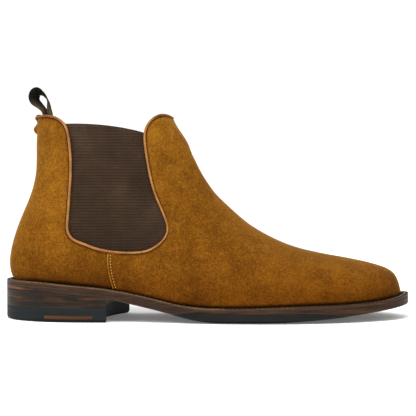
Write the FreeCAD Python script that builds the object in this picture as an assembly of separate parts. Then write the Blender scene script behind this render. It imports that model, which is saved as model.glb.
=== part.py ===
"""Chelsea boot for the right foot, as separate pieces. Units are millimetres.

The toe points along +X, the outer (lateral) side faces -Y, and +Z is up. The boot stands on Z = 0, and
the origin is below the middle of its box. The shape of the foot is given by sections of a last. A piece
of leather, lining or stiffener is a layer of that last, cut out by an outline in side view. A piece of
the bottom is the outline of the sole in plan, cut to its height in side view.
"""

import FreeCAD, Part
import math
import os

from FreeCAD import Vector

# ---- driving dimensions ----
HALF_LENGTH = 151.0
SIDE_REACH = 70.0  # far enough to pass out of either side of the boot

LEATHER = 1.6
STIFFENER_DEPTH = (1.7, 2.9)  # layer depths below the outer surface
INTERLINING_DEPTH = (1.7, 2.4)
LINING_DEPTH = (3.0, 4.0)
INSOLE_DEPTH = 4.15
SOCK_DEPTH = 4.3
PIPING_DEPTH = (-0.8, 1.5)
PIPING_RADIUS = 1.1
STAY_DEPTH = (-1.5, -0.05)
EDGE_GAP = 0.1
GUSSET_TUCK = 7.0  # how far the elastic runs on under the leather

WELT_THICKNESS = 2.4
WELT_WIDTH = 9.0
SOLE_EDGE = 6.6  # welt and outsole together, at the waist and heel
INSOLE_THICKNESS = 3.0
SOCK_THICKNESS = 1.2
TREAD_BEVEL_INSET = 6.5
TREAD_BEVEL_HEIGHT = 2.8

HEEL_LEVELS = (16.9, 10.5, 5.6)  # undersides of the three leather lifts
INLAY_X = (-120.0, -83.0)
INLAY_Z = (3.4, 5.6)
NAIL_RADIUS = 0.9
HEEL_NAIL_TIP_Z = 7.0
HEEL_NAILS = [(-136, 0), (-127, -18), (-126, 17), (-108, -26), (-107, 20), (-90, -28), (-88, 20)]
TOP_LIFT_NAIL_RADIUS = 0.8
TOP_LIFT_NAIL_INSET = 7.0
TOP_LIFT_NAIL_TIP_Z = 9.0
SHANK = (-105.0, -15.0, 13.0, 1.3)  # back end, front end, width, thickness

TAB_WIDTH = 15.0
TAB_THICKNESS = 1.2
TAB_PIVOT = (-121.6, 153.0)
TAB_ROOT_RADIUS = 1.7
TAB_ANCHOR_DEPTH = (4.05, 5.25)
TAB_ANCHOR_Z = (126.0, 150.9)
STAY_WIDTH = 13.0
STAY_Z = (137.8, 149.3)
TAB_LOOP = [(-118.6, 158), (-119.4, 163), (-122.8, 168.6), (-127.4, 171.2), (-131.6, 169.2),
            (-131.6, 164.6), (-128.2, 160), (-124.4, 156.6)]

STITCH = (3.6, 0.8, 0.4)  # length along the edge, width, height
STITCH_PITCH = 5.0
STITCH_INSET = 2.4

# Sections of the last, from the toe to the top of the shaft. Each lies in a plane across the boot, from
# the ridge (the top of the foot, then the front of the shaft) to the base (under the foot, then the
# back of the heel and shaft). Columns: ridge x, ridge z, base x, base z, centre y, lateral half-width,
# medial half-width, place of the widest point as a share of the way down, and the powers of the two
# rounded ends, where 2 is an ellipse and more is squarer.
SECTIONS = [
    (144.6, 22.8, 144.6, 7.5, 2.0, 7.5, 7.5, 0.50, 2.2, 2.8),
    (141.6, 31.0, 141.9, 5.5, 2.0, 14.0, 13.5, 0.55, 2.2, 3.2),
    (133.3, 37.4, 133.3, 4.0, 2.2, 23.0, 21.5, 0.55, 2.2, 3.6),
    (112.0, 43.1, 112.0, 2.0, 2.5, 36.5, 35.0, 0.55, 2.15, 4.0),
    (85.0, 48.2, 84.0, 0.0, 3.0, 45.6, 43.6, 0.56, 2.0, 4.0),
    (59.4, 55.1, 56.0, -2.0, 3.5, 50.2, 44.5, 0.60, 1.85, 4.0),
    (35.3, 67.1, 28.0, -3.0, 3.0, 50.6, 40.5, 0.64, 1.75, 4.0),
    (20.3, 79.2, 0.0, -3.0, 2.0, 47.5, 34.5, 0.65, 1.78, 4.0),
    (7.5, 91.2, -32.0, 0.0, 0.5, 43.0, 31.5, 0.62, 1.82, 3.8),
    (0.5, 100.0, -67.0, 7.0, -0.5, 39.2, 31.8, 0.58, 1.88, 3.6),
    (-4.0, 107.0, -106.0, 13.0, -1.2, 35.8, 32.2, 0.54, 1.94, 3.4),
    (-7.0, 112.5, -137.0, 20.0, -1.2, 33.8, 32.4, 0.51, 2.0, 3.1),
    (-9.5, 118.0, -148.3, 36.0, -1.0, 33.2, 32.5, 0.50, 2.05, 2.6),
    (-11.5, 122.0, -147.4, 54.0, -0.8, 33.0, 32.6, 0.51, 2.08, 2.4),
    (-13.0, 126.0, -141.4, 73.0, -0.6, 33.0, 32.8, 0.52, 2.1, 2.25),
    (-14.5, 130.0, -133.8, 91.0, -0.4, 33.3, 33.2, 0.52, 2.1, 2.15),
    (-17.0, 134.5, -129.2, 110.0, -0.2, 34.2, 34.2, 0.52, 2.1, 2.1),
    (-20.3, 139.3, -128.6, 128.0, 0.0, 35.5, 35.5, 0.52, 2.1, 2.1),
    (-24.1, 145.3, -128.2, 143.0, 0.0, 36.8, 36.8, 0.52, 2.1, 2.1),
    (-30.0, 158.0, -127.5, 160.0, 0.0, 38.0, 38.0, 0.50, 2.1, 2.1),
]
STEPS_PER_SECTION = 2
POINTS_PER_QUARTER = 7

# Outline of the sole in plan, clockwise from the tip of the toe along the lateral side.
SOLE_OUTLINE = [
    (151.0, 2.0), (148.9, -8.5), (141.5, -20.5), (129.0, -31.0), (108.0, -41.2), (82.0, -48.2),
    (57.0, -51.7), (35.0, -52.2), (10.0, -50.8), (-20.0, -46.0), (-50.0, -41.6), (-80.0, -39.8),
    (-108.0, -38.0), (-130.0, -31.0), (-144.8, -18.6), (-151.4, 0.5), (-146.3, 17.6), (-132.0, 28.5),
    (-108.0, 33.0), (-80.0, 31.2), (-50.0, 30.0), (-20.0, 33.2), (10.0, 41.2), (38.0, 49.6),
    (62.0, 52.2), (86.0, 50.6), (110.0, 44.0), (129.0, 34.0), (142.0, 22.8), (149.0, 11.5),
]

# Top of the welt, and underside of the sole along its middle, in side view.
SEAT_LINE = [
    (-160.0, 29.2), (-126.0, 29.0), (-100.0, 26.9), (-76.0, 24.6), (-55.6, 21.1), (-40.5, 17.7),
    (-25.4, 14.2), (-10.0, 11.9), (10.0, 11.2), (30.0, 11.4), (52.0, 12.2), (75.0, 12.8), (100.0, 13.3),
    (120.0, 14.4), (135.0, 16.0), (145.0, 17.9), (160.0, 21.0),
]
GROUND_LINE = [
    (-60.0, 14.0), (-46.0, 10.7), (-32.0, 7.1), (-20.0, 3.9), (-9.0, 1.5), (4.0, 0.2), (18.0, 0.0),
    (34.0, 0.0), (52.0, 0.3), (72.0, 1.3), (92.0, 2.9), (112.0, 5.1), (130.0, 7.4), (145.0, 9.5),
    (160.0, 11.8),
]
TREAD_TOP = [(-27.0, 5.8), (-16.0, 7.5), (10.0, 7.6), (60.0, 7.5), (84.0, 7.0), (104.0, 4.6)]
BREAST_ARC = [(-72.3, -46.0), (-75.0, -5.0), (-54.0, 38.0)]

# Edge of the leather round the elastic, in side view: over the back of the collar, down, along under
# the elastic, up, and over the front of the collar. The collar's back corner is lower on the medial side.
BACK_EDGE = [
    (-134.0, 149.8), (-126.0, 150.8), (-118.0, 151.0), (-111.5, 149.6), (-106.6, 146.6), (-103.6, 142.4),
    (-102.2, 137.0), (-100.8, 124.0), (-100.5, 110.0), (-101.6, 92.0), (-102.8, 75.0), (-102.7, 66.5),
    (-99.5, 61.2), (-91.8, 57.6), (-82.0, 54.0), (-73.2, 52.1),
]
MEDIAL_BACK_EDGE = [
    (-134.0, 149.8), (-126.0, 150.6), (-119.5, 150.0), (-114.2, 147.6), (-110.0, 143.8), (-106.9, 139.4),
    (-104.6, 134.0), (-101.4, 121.5), *BACK_EDGE[8:],
]
FRONT_EDGE = [
    (-73.2, 52.1), (-62.0, 51.1), (-51.0, 51.3), (-43.5, 52.8), (-36.9, 56.4), (-31.7, 61.6),
    (-29.4, 67.4), (-30.3, 73.2), (-38.0, 91.6), (-42.0, 105.0), (-44.8, 120.0), (-46.4, 134.0),
    (-45.8, 141.0), (-43.0, 146.3), (-38.4, 150.4), (-33.2, 152.0), (-28.4, 150.9), (-20.0, 144.5),
]
SEAM_LINE = [(-73.2, 52.1), (-73.2, 41.0), (-72.0, 34.0), (-68.5, 22.0)]
ELASTIC_TOP = [(-111.0, 144.8), (-102.0, 145.2), (-84.0, 144.8), (-66.0, 142.9), (-48.0, 138.6),
               (-39.6, 135.2)]


# ---- curves ----
def spline_bends(values):
    """Second derivatives of the natural cubic spline through values at 0, 1, 2 and so on."""
    n = len(values)
    upper = [0.0] * n
    right = [0.0] * n
    for i in range(1, n - 1):
        pivot = 4.0 - upper[i - 1]
        upper[i] = 1.0 / pivot
        load = 6.0 * (values[i + 1] - 2.0 * values[i] + values[i - 1])
        right[i] = (load - right[i - 1]) / pivot
    bends = [0.0] * n
    for i in range(n - 2, 0, -1):
        bends[i] = right[i] - upper[i] * bends[i + 1]
    return bends


COLUMNS = list(zip(*SECTIONS))
COLUMN_BENDS = [spline_bends(column) for column in COLUMNS]


def column_at(index, s):
    """Value of one column of SECTIONS at a place s between the sections."""
    values, bends = COLUMNS[index], COLUMN_BENDS[index]
    i = min(int(s), len(values) - 2)
    t = s - i
    r = 1.0 - t
    curve = (r**3 - r) * bends[i] + (t**3 - t) * bends[i + 1]
    return r * values[i] + t * values[i + 1] + curve / 6.0


def side_point(first_column, s, depth):
    """Point of the ridge or base line in side view, moved inwards by depth."""
    x, z = column_at(first_column, s), column_at(first_column + 1, s)
    step = 0.02
    low, high = max(s - step, 0.0), min(s + step, len(SECTIONS) - 1.0)
    dx = column_at(first_column, high) - column_at(first_column, low)
    dz = column_at(first_column + 1, high) - column_at(first_column + 1, low)
    inward = depth / math.hypot(dx, dz)
    if first_column == 0:
        inward = -inward
    return x + inward * dz, z - inward * dx


def section_points(s, depth):
    """Points round the last at section s, depth below its surface, from the ridge down the lateral side."""
    ridge_x, ridge_z = side_point(0, s, depth)
    base_x, base_z = side_point(2, s, depth)
    centre, lateral, medial, widest, top_power, base_power = (column_at(c, s) for c in range(4, 10))
    ring = []
    for k in range(2 * POINTS_PER_QUARTER + 1):
        angle = math.pi / 2 * k / POINTS_PER_QUARTER
        along, out = abs(math.cos(angle)), abs(math.sin(angle))
        if k <= POINTS_PER_QUARTER:
            down = widest * (1.0 - along ** (2.0 / top_power))
            share = out ** (2.0 / top_power)
        else:
            down = widest + (1.0 - widest) * along ** (2.0 / base_power)
            share = out ** (2.0 / base_power)
        ring.append((ridge_x + down * (base_x - ridge_x), ridge_z + down * (base_z - ridge_z), share))
    points = [Vector(x, centre - (lateral - depth) * share, z) for x, z, share in ring]
    points += [Vector(x, centre + (medial - depth) * share, z) for x, z, share in ring[-2:0:-1]]
    return points


def last_solid(depth):
    """The whole last, depth below the outer surface of the leather."""
    count = (len(SECTIONS) - 1) * STEPS_PER_SECTION
    rings = []
    for k in range(count + 1):
        points = section_points(k / STEPS_PER_SECTION, depth)
        around = [i / len(points) for i in range(len(points) + 1)]
        ring = Part.BSplineCurve()
        ring.interpolate(Points=points, PeriodicFlag=True, Parameters=around)
        rings.append(ring)
    lines = []
    for j in range(1, ring.NbPoles + 1):
        line = Part.BSplineCurve()
        poles = [ring.getPole(j) for ring in rings]
        line.interpolate(Points=poles, Parameters=[float(k) for k in range(count + 1)])
        lines.append(line)
    poles = [[l.getPole(i) for l in lines] for i in range(1, line.NbPoles + 1)]
    surface = Part.BSplineSurface()
    surface.buildFromPolesMultsKnots(poles, line.getMultiplicities(), ring.getMultiplicities(),
                                     line.getKnots(), ring.getKnots(), False, True, 3, 3)
    side = surface.toShape()
    ends = [Part.Face(Part.Wire(rings[k].toShape())) for k in (0, count)]
    shell = Part.makeShell([side, *ends])
    shell.sewShape()
    solid = Part.Solid(shell)
    solid.fix(0.001, 0.001, 0.001)
    return solid


def side_curve(points):
    """Smooth edge in the XZ plane through points."""
    curve = Part.BSplineCurve()
    curve.interpolate([Vector(x, 0, z) for x, z in points])
    return curve.toShape()


def side_line(start, end):
    """Straight edge in the XZ plane."""
    return Part.makeLine(Vector(start[0], 0, start[1]), Vector(end[0], 0, end[1]))


def shifted(points, distance):
    """Points of a side-view line moved to its right-hand side by distance."""
    moved = []
    for i, (x, z) in enumerate(points):
        before, after = points[max(i - 1, 0)], points[min(i + 1, len(points) - 1)]
        dx, dz = after[0] - before[0], after[1] - before[1]
        length = math.hypot(dx, dz)
        moved.append((x + distance * dz / length, z - distance * dx / length))
    return moved


def raised(points, height):
    return [(x, z + height) for x, z in points]


def loop_prism(pieces, y_low=-SIDE_REACH, y_high=SIDE_REACH):
    """Prism across the boot whose side view is a loop. Each piece is a list of points, smooth through
    more than two, and the gaps between pieces are closed by straight lines."""
    edges = []
    for i, points in enumerate(pieces):
        if len(points) > 2:
            edges.append(side_curve(points))
        elif len(points) == 2:
            edges.append(side_line(*points))
        end, start = points[-1], pieces[(i + 1) % len(pieces)][0]
        if math.dist(end, start) > 1e-6:
            edges.append(side_line(end, start))
    face = Part.Face(Part.Wire(Part.__sortEdges__(edges)))
    face.translate(Vector(0, y_low, 0))
    return face.extrude(Vector(0, y_high - y_low, 0))


def outline_wire(inset, z):
    """Closed plan outline of the sole at height z, moved inwards by inset."""
    n = len(SOLE_OUTLINE)
    points = []
    for i, (x, y) in enumerate(SOLE_OUTLINE):
        before, after = SOLE_OUTLINE[i - 1], SOLE_OUTLINE[(i + 1) % n]
        dx, dy = after[0] - before[0], after[1] - before[1]
        length = math.hypot(dx, dy)
        points.append(Vector(x + inset * dy / length, y - inset * dx / length, z))
    curve = Part.BSplineCurve()
    curve.interpolate(points, PeriodicFlag=True)
    return Part.Wire(curve.toShape())


def outline_prism(inset, z_low=-5.0, z_high=60.0):
    return Part.Face(outline_wire(inset, z_low)).extrude(Vector(0, 0, z_high - z_low))


def slab(lower, upper, x_low=-HALF_LENGTH - 5, x_high=HALF_LENGTH + 5):
    """Everything between two side-view lines, from x_low to x_high."""
    box = Part.makeBox(x_high - x_low, 2 * SIDE_REACH, 80, Vector(x_low, -SIDE_REACH, -10))
    return loop_prism([lower, upper[::-1]]).common(box)


def solid_of(shape):
    """The largest solid of a boolean result."""
    return max(shape.Solids, key=lambda s: s.Volume)


# ---- the upper ----
LAST = {depth: last_solid(depth) for depth in sorted({
    0.0, LEATHER, *STIFFENER_DEPTH, *INTERLINING_DEPTH, *LINING_DEPTH, INSOLE_DEPTH, SOCK_DEPTH,
    *PIPING_DEPTH, *STAY_DEPTH, *TAB_ANCHOR_DEPTH})}


def layer(depths, region):
    """The piece of the last between two depths that lies in region."""
    return solid_of(LAST[depths[0]].common(region).cut(LAST[depths[1]]))


def seat_between(x_low, x_high, height=0.0):
    """The line of the top of the welt from x_low to x_high, raised by height."""
    inner = [p for p in SEAT_LINE if x_low + 2 < p[0] < x_high - 2]
    line = [(x_low, seat_height(x_low)), *inner, (x_high, seat_height(x_high))]
    return raised(line, height)


def seat_height(x):
    """Height of the top of the welt at x, between the points of its line."""
    for (x0, z0), (x1, z1) in zip(SEAT_LINE, SEAT_LINE[1:]):
        if x0 <= x <= x1:
            return z0 + (z1 - z0) * (x - x0) / (x1 - x0)
    raise ValueError(f"{x} is past the ends of the seat line")


def front_region(edge):
    """Side-view region in front of the elastic and the side seam, above the welt."""
    seam = [(x + EDGE_GAP / 2, z) for x, z in SEAM_LINE]
    edge = [(seam[0][0], edge[0][1]), *edge[1:]]
    foot_x = seam[-1][0]
    foot = seat_between(foot_x, 159)
    return loop_prism([edge, [(-10, 170), (170, 170)], foot[::-1], seam[-2:0:-1]])


def back_region(edge, y_low, y_high):
    """Side-view region behind the elastic and the side seam, above the welt."""
    seam = [(x - EDGE_GAP / 2, z) for x, z in SEAM_LINE]
    edge = [*edge[:-1], (seam[0][0], edge[-1][1])]
    foot = seat_between(-159, seam[-1][0])
    return loop_prism([edge, seam[1:-1], foot[::-1]], y_low, y_high)


def collar_box(width, heights):
    """Box round the middle of the back of the shaft."""
    corner = Vector(-140, -width / 2, heights[0])
    return Part.makeBox(25, width, heights[1] - heights[0], corner)


def piping_strip(edge, y_low=-SIDE_REACH, y_high=SIDE_REACH):
    """Side-view strip along an edge of the leather, as wide as the piping."""
    outline = [shifted(edge, PIPING_RADIUS), shifted(edge, -PIPING_RADIUS)[::-1]]
    return loop_prism(outline, y_low, y_high)


def make_upper(pieces):
    step = PIPING_RADIUS + EDGE_GAP
    front_cut = shifted(FRONT_EDGE, step)
    pieces["vamp"] = layer((0.0, LEATHER), front_region(front_cut))
    sides = (("lateral", BACK_EDGE, -SIDE_REACH, 0), ("medial", MEDIAL_BACK_EDGE, 0, SIDE_REACH))
    rolls = []
    for side, edge, y_low, y_high in sides:
        region = back_region(shifted(edge, step), y_low, y_high)
        pieces[f"quarter_{side}"] = layer((0.0, LEATHER), region)
        pieces[f"quarter_lining_{side}"] = layer(LINING_DEPTH, region)
        tucked_back = shifted(edge, GUSSET_TUCK)[6:]
        tucked_front = shifted(FRONT_EDGE, GUSSET_TUCK)[1:11]
        elastic = loop_prism([[*tucked_back, *tucked_front], ELASTIC_TOP[::-1]], y_low, y_high)
        pieces[f"elastic_gusset_{side}"] = layer(STIFFENER_DEPTH, elastic)
        rolls.append(layer(PIPING_DEPTH, piping_strip(edge, y_low, y_high)))
    pieces["vamp_lining"] = layer(LINING_DEPTH, front_region(front_cut))

    pieces["vamp_piping"] = layer(PIPING_DEPTH, piping_strip(FRONT_EDGE))
    pieces["quarter_piping"] = solid_of(rolls[0].fuse(rolls[1]))

    pieces["back_stay"] = layer(STAY_DEPTH, collar_box(STAY_WIDTH, STAY_Z))
    pieces["pull_tab_anchor"] = layer(TAB_ANCHOR_DEPTH, collar_box(TAB_WIDTH, TAB_ANCHOR_Z))

    puff = loop_prism([seat_between(84, 159), [(170, 70), (78, 70)]])
    pieces["toe_puff"] = layer(STIFFENER_DEPTH, puff)
    counter = loop_prism([[(-112, 62), (-96, 44), (-70, 37), (-54, 28)],
                          seat_between(-159, -52)[::-1], [(-160, 74), (-122, 73)]])
    pieces["heel_counter"] = layer(STIFFENER_DEPTH, counter)
    middle = loop_prism([seat_between(-14, 77), [(70, 120), (-12, 120)]])
    pieces["vamp_interlining"] = layer(INTERLINING_DEPTH, middle)


# ---- the bottom ----
def strip_of(points, x_low, x_high):
    return [p for p in points if x_low <= p[0] <= x_high]


def breast_region():
    """Everything behind the curved front face of the heel."""
    a, b, c = (Vector(x, y, -5) for x, y in BREAST_ARC)
    back_c, back_a = Vector(-170, c.y, -5), Vector(-170, a.y, -5)
    wire = Part.Wire([Part.Arc(a, b, c).toShape(), Part.makeLine(c, back_c),
                      Part.makeLine(back_c, back_a), Part.makeLine(back_a, a)])
    return Part.Face(wire).extrude(Vector(0, 0, 60))


def make_bottom(pieces):
    welt_under = raised(SEAT_LINE, -WELT_THICKNESS)
    full = outline_prism(0.0)
    middle = outline_prism(WELT_WIDTH)
    welt_slab = slab(welt_under, SEAT_LINE)
    pieces["welt"] = solid_of(full.common(welt_slab).cut(middle))

    back, front, width, thickness = SHANK
    shank_line = strip_of(raised(SEAT_LINE, -WELT_THICKNESS / 2), back - 22, front + 6)
    shank = slab(raised(shank_line, -thickness / 2), raised(shank_line, thickness / 2), back, front)
    shank = shank.common(Part.makeBox(200, width, 60, Vector(-150, -width / 2 - 3, 0)))
    pieces["shank"] = solid_of(shank)
    pieces["cork_filler"] = solid_of(outline_prism(WELT_WIDTH + EDGE_GAP).common(welt_slab).cut(shank))

    sole_under = [*strip_of(raised(SEAT_LINE, -SOLE_EDGE), -200, -70), *GROUND_LINE]
    tread_cut = loop_prism([TREAD_TOP, [(104, -8), (-27, -8)]])
    sole = full.common(slab(sole_under, welt_under))
    pieces["outsole"] = solid_of(sole.cut(tread_cut))
    bevel = Part.makeLoft([outline_wire(0.0, TREAD_BEVEL_HEIGHT), outline_wire(TREAD_BEVEL_INSET, -0.3)],
                          True, True)
    hull = bevel.fuse(outline_prism(0.0, TREAD_BEVEL_HEIGHT))
    pieces["forepart_tread"] = solid_of(sole.common(tread_cut).common(hull))

    insole_top = raised(SEAT_LINE, INSOLE_THICKNESS)
    pieces["insole"] = solid_of(LAST[INSOLE_DEPTH].common(slab(SEAT_LINE, insole_top)))
    sock_top = raised(insole_top, SOCK_THICKNESS)
    pieces["sock_liner"] = solid_of(LAST[SOCK_DEPTH].common(slab(insole_top, sock_top)))

    under_seat = loop_prism([[(-165, -5), (-45, -5)], strip_of(sole_under, -200, -45)[::-1]])
    heel = full.common(breast_region()).common(under_seat)
    tops = (40.0, *HEEL_LEVELS)
    bottoms = (*HEEL_LEVELS, 0.0)
    slices = []
    for top, bottom in zip(tops, bottoms):
        box = Part.makeBox(120, 2 * SIDE_REACH, top - bottom, Vector(-160, -SIDE_REACH, bottom))
        slices.append(solid_of(heel.common(box)))
    pieces["heel_lift_1"], pieces["heel_lift_2"], pieces["heel_lift_3"], top_lift = slices
    inlay_box = Part.makeBox(INLAY_X[1] - INLAY_X[0], 2 * SIDE_REACH, INLAY_Z[1] - INLAY_Z[0],
                             Vector(INLAY_X[0], -SIDE_REACH, INLAY_Z[0]))
    pieces["top_lift_inlay"] = solid_of(top_lift.common(inlay_box))
    pieces["heel_top_lift"] = solid_of(top_lift.cut(inlay_box))


def make_stitches(pieces):
    """Row of stitches on top of the welt, wherever the upper leaves room for them."""
    length, width, height = STITCH
    keep_off = LAST[PIPING_DEPTH[0]]
    path = outline_wire(STITCH_INSET, 0.0)
    count = int(path.Length / STITCH_PITCH)
    points = path.discretize(Number=count + 1)
    boxes = []
    for before, after in zip(points, points[1:]):
        places = [Vector(p.x, p.y, seat_height(p.x) + height) for p in (before, after)]
        if any(keep_off.isInside(place, 0.01, True) for place in places):
            continue
        box = Part.makeBox(length, width, 60, Vector(-length / 2, -width / 2, 0))
        turn = math.degrees(math.atan2(after.y - before.y, after.x - before.x))
        box.rotate(Vector(0, 0, 0), Vector(0, 0, 1), turn)
        box.translate((before + after) * 0.5)
        boxes.append(box)
    row = Part.makeCompound(boxes).common(slab(SEAT_LINE, raised(SEAT_LINE, height)))
    pieces["welt_stitching"] = Part.makeCompound(row.Solids)


def drive_nails(pieces):
    """Nails, each in a hole of its own through the pieces that it holds."""
    nails = []
    for x, y in HEEL_NAILS:
        head_z = seat_height(x) + INSOLE_THICKNESS - 0.3
        nails.append(Part.makeCylinder(NAIL_RADIUS, head_z - HEEL_NAIL_TIP_Z, Vector(x, y, HEEL_NAIL_TIP_Z)))
    for name in ("insole", "cork_filler", "shank", "outsole", "heel_lift_1", "heel_lift_2", "heel_lift_3"):
        pieces[name] = solid_of(pieces[name].cut(Part.makeCompound(nails)))
    pieces["heel_nails"] = Part.makeCompound(nails)

    pins = []
    path = outline_wire(TOP_LIFT_NAIL_INSET, 0.0)
    for point in path.discretize(Distance=13.0):
        if point.x < -88:
            foot = Vector(point.x, point.y, 0)
            pins.append(Part.makeCylinder(TOP_LIFT_NAIL_RADIUS, TOP_LIFT_NAIL_TIP_Z, foot))
    for name in ("heel_top_lift", "top_lift_inlay", "heel_lift_3"):
        pieces[name] = solid_of(pieces[name].cut(Part.makeCompound(pins)))
    pieces["top_lift_nails"] = Part.makeCompound(pins)


# ---- pull tab ----
def make_pull_tab(pieces):
    x, z = TAB_PIVOT
    half = TAB_THICKNESS / 2
    turns = [(x + 0.8, z + 1.6), *TAB_LOOP, (x - 0.8, z + 1.6)]
    outer = shifted(turns, half)
    inner = shifted(turns, -half)
    band = loop_prism([outer, inner[::-1]], -TAB_WIDTH / 2, TAB_WIDTH / 2)
    root = Part.makeCylinder(TAB_ROOT_RADIUS, TAB_WIDTH, Vector(x, -TAB_WIDTH / 2, z), Vector(0, 1, 0))
    pieces["pull_tab_loop"] = solid_of(band.fuse(root).removeSplitter())


def main():
    pieces = {}
    make_upper(pieces)
    make_bottom(pieces)
    make_stitches(pieces)
    drive_nails(pieces)
    make_pull_tab(pieces)
    os.makedirs("parts", exist_ok=True)
    for name, shape in pieces.items():
        shape.exportStep(f"parts/{name}.step")
        print(f"{name:24} {shape.Volume:10.1f} mm3  valid {shape.isValid()}  solids {len(shape.Solids)}")


main()
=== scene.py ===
"""Looks of the chelsea boot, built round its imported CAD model.

Shapes are worked out in millimetres, in the frame of the CAD model: the toe points along +X, the outer
(lateral) side faces -Y, and +Z is up. The upper is made of layers of a last, given by the same sections
as the CAD model has.
"""

import math

import bmesh
import bpy
import numpy as np
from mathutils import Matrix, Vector, noise


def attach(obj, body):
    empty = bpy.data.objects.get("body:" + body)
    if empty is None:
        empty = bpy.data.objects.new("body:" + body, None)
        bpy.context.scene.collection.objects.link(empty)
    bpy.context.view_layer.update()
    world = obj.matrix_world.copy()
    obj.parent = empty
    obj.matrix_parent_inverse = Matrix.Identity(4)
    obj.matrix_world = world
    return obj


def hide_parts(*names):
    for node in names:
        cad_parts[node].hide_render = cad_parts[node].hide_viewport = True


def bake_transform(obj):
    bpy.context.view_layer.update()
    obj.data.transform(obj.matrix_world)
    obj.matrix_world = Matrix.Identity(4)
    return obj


MM = 0.001
BODY, TAB = "boot", "pull_tab"
SIDES = (("lateral", -1), ("medial", 1))

# ---- the last and the lines on it, as in the CAD model ----
# ridge x, ridge z, base x, base z, centre y, lateral half-width, medial half-width,
# place of the widest point, power of the top end, power of the bottom end
SECTIONS = np.array([
    (144.6, 22.8, 144.6, 7.5, 2.0, 7.5, 7.5, 0.50, 2.2, 2.8),
    (141.6, 31.0, 141.9, 5.5, 2.0, 14.0, 13.5, 0.55, 2.2, 3.2),
    (133.3, 37.4, 133.3, 4.0, 2.2, 23.0, 21.5, 0.55, 2.2, 3.6),
    (112.0, 43.1, 112.0, 2.0, 2.5, 36.5, 35.0, 0.55, 2.15, 4.0),
    (85.0, 48.2, 84.0, 0.0, 3.0, 45.6, 43.6, 0.56, 2.0, 4.0),
    (59.4, 55.1, 56.0, -2.0, 3.5, 50.2, 44.5, 0.60, 1.85, 4.0),
    (35.3, 67.1, 28.0, -3.0, 3.0, 50.6, 40.5, 0.64, 1.75, 4.0),
    (20.3, 79.2, 0.0, -3.0, 2.0, 47.5, 34.5, 0.65, 1.78, 4.0),
    (7.5, 91.2, -32.0, 0.0, 0.5, 43.0, 31.5, 0.62, 1.82, 3.8),
    (0.5, 100.0, -67.0, 7.0, -0.5, 39.2, 31.8, 0.58, 1.88, 3.6),
    (-4.0, 107.0, -106.0, 13.0, -1.2, 35.8, 32.2, 0.54, 1.94, 3.4),
    (-7.0, 112.5, -137.0, 20.0, -1.2, 33.8, 32.4, 0.51, 2.0, 3.1),
    (-9.5, 118.0, -148.3, 36.0, -1.0, 33.2, 32.5, 0.50, 2.05, 2.6),
    (-11.5, 122.0, -147.4, 54.0, -0.8, 33.0, 32.6, 0.51, 2.08, 2.4),
    (-13.0, 126.0, -141.4, 73.0, -0.6, 33.0, 32.8, 0.52, 2.1, 2.25),
    (-14.5, 130.0, -133.8, 91.0, -0.4, 33.3, 33.2, 0.52, 2.1, 2.15),
    (-17.0, 134.5, -129.2, 110.0, -0.2, 34.2, 34.2, 0.52, 2.1, 2.1),
    (-20.3, 139.3, -128.6, 128.0, 0.0, 35.5, 35.5, 0.52, 2.1, 2.1),
    (-24.1, 145.3, -128.2, 143.0, 0.0, 36.8, 36.8, 0.52, 2.1, 2.1),
    (-30.0, 158.0, -127.5, 160.0, 0.0, 38.0, 38.0, 0.50, 2.1, 2.1),
])
LAST_S = len(SECTIONS) - 1.0

SOLE_OUTLINE = [
    (151.0, 2.0), (148.9, -8.5), (141.5, -20.5), (129.0, -31.0), (108.0, -41.2), (82.0, -48.2),
    (57.0, -51.7), (35.0, -52.2), (10.0, -50.8), (-20.0, -46.0), (-50.0, -41.6), (-80.0, -39.8),
    (-108.0, -38.0), (-130.0, -31.0), (-144.8, -18.6), (-151.4, 0.5), (-146.3, 17.6), (-132.0, 28.5),
    (-108.0, 33.0), (-80.0, 31.2), (-50.0, 30.0), (-20.0, 33.2), (10.0, 41.2), (38.0, 49.6),
    (62.0, 52.2), (86.0, 50.6), (110.0, 44.0), (129.0, 34.0), (142.0, 22.8), (149.0, 11.5),
]
SEAT_LINE = [
    (-160.0, 29.2), (-126.0, 29.0), (-100.0, 26.9), (-76.0, 24.6), (-55.6, 21.1), (-40.5, 17.7),
    (-25.4, 14.2), (-10.0, 11.9), (10.0, 11.2), (30.0, 11.4), (52.0, 12.2), (75.0, 12.8), (100.0, 13.3),
    (120.0, 14.4), (135.0, 16.0), (145.0, 17.9), (160.0, 21.0),
]
GROUND_LINE = [
    (-160.0, 22.6), (-126.0, 22.4), (-100.0, 20.3), (-76.0, 18.0), (-60.0, 14.0), (-46.0, 10.7),
    (-32.0, 7.1), (-20.0, 3.9), (-9.0, 1.5), (4.0, 0.2), (18.0, 0.0), (34.0, 0.0), (52.0, 0.3),
    (72.0, 1.3), (92.0, 2.9), (112.0, 5.1), (130.0, 7.4), (145.0, 9.5), (160.0, 11.8),
]
SOLE_EDGE_LINE = [  # underside of the sole at its edge, which is a little higher than in the middle
    (-160.0, 22.7), (-126.0, 22.5), (-100.0, 20.4), (-76.0, 18.0), (-55.6, 13.6), (-40.5, 10.2),
    (-25.4, 7.0), (-13.3, 4.4), (4.6, 3.2), (24.0, 3.1), (51.7, 3.4), (70.4, 3.6), (83.0, 3.9),
    (102.0, 5.1), (115.5, 6.5), (129.0, 8.0), (143.0, 9.7), (160.0, 12.1),
]
TREAD_TOP = [(-40.0, 3.9), (-27.0, 5.8), (-16.0, 7.5), (10.0, 7.6), (60.0, 7.5), (84.0, 7.0), (104.0, 4.6),
             (125.0, 2.0)]
BREAST_ARC = [(-72.3, -46.0), (-75.0, -5.0), (-54.0, 38.0)]
HEEL_LEVELS = (16.9, 10.5, 5.6)

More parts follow.
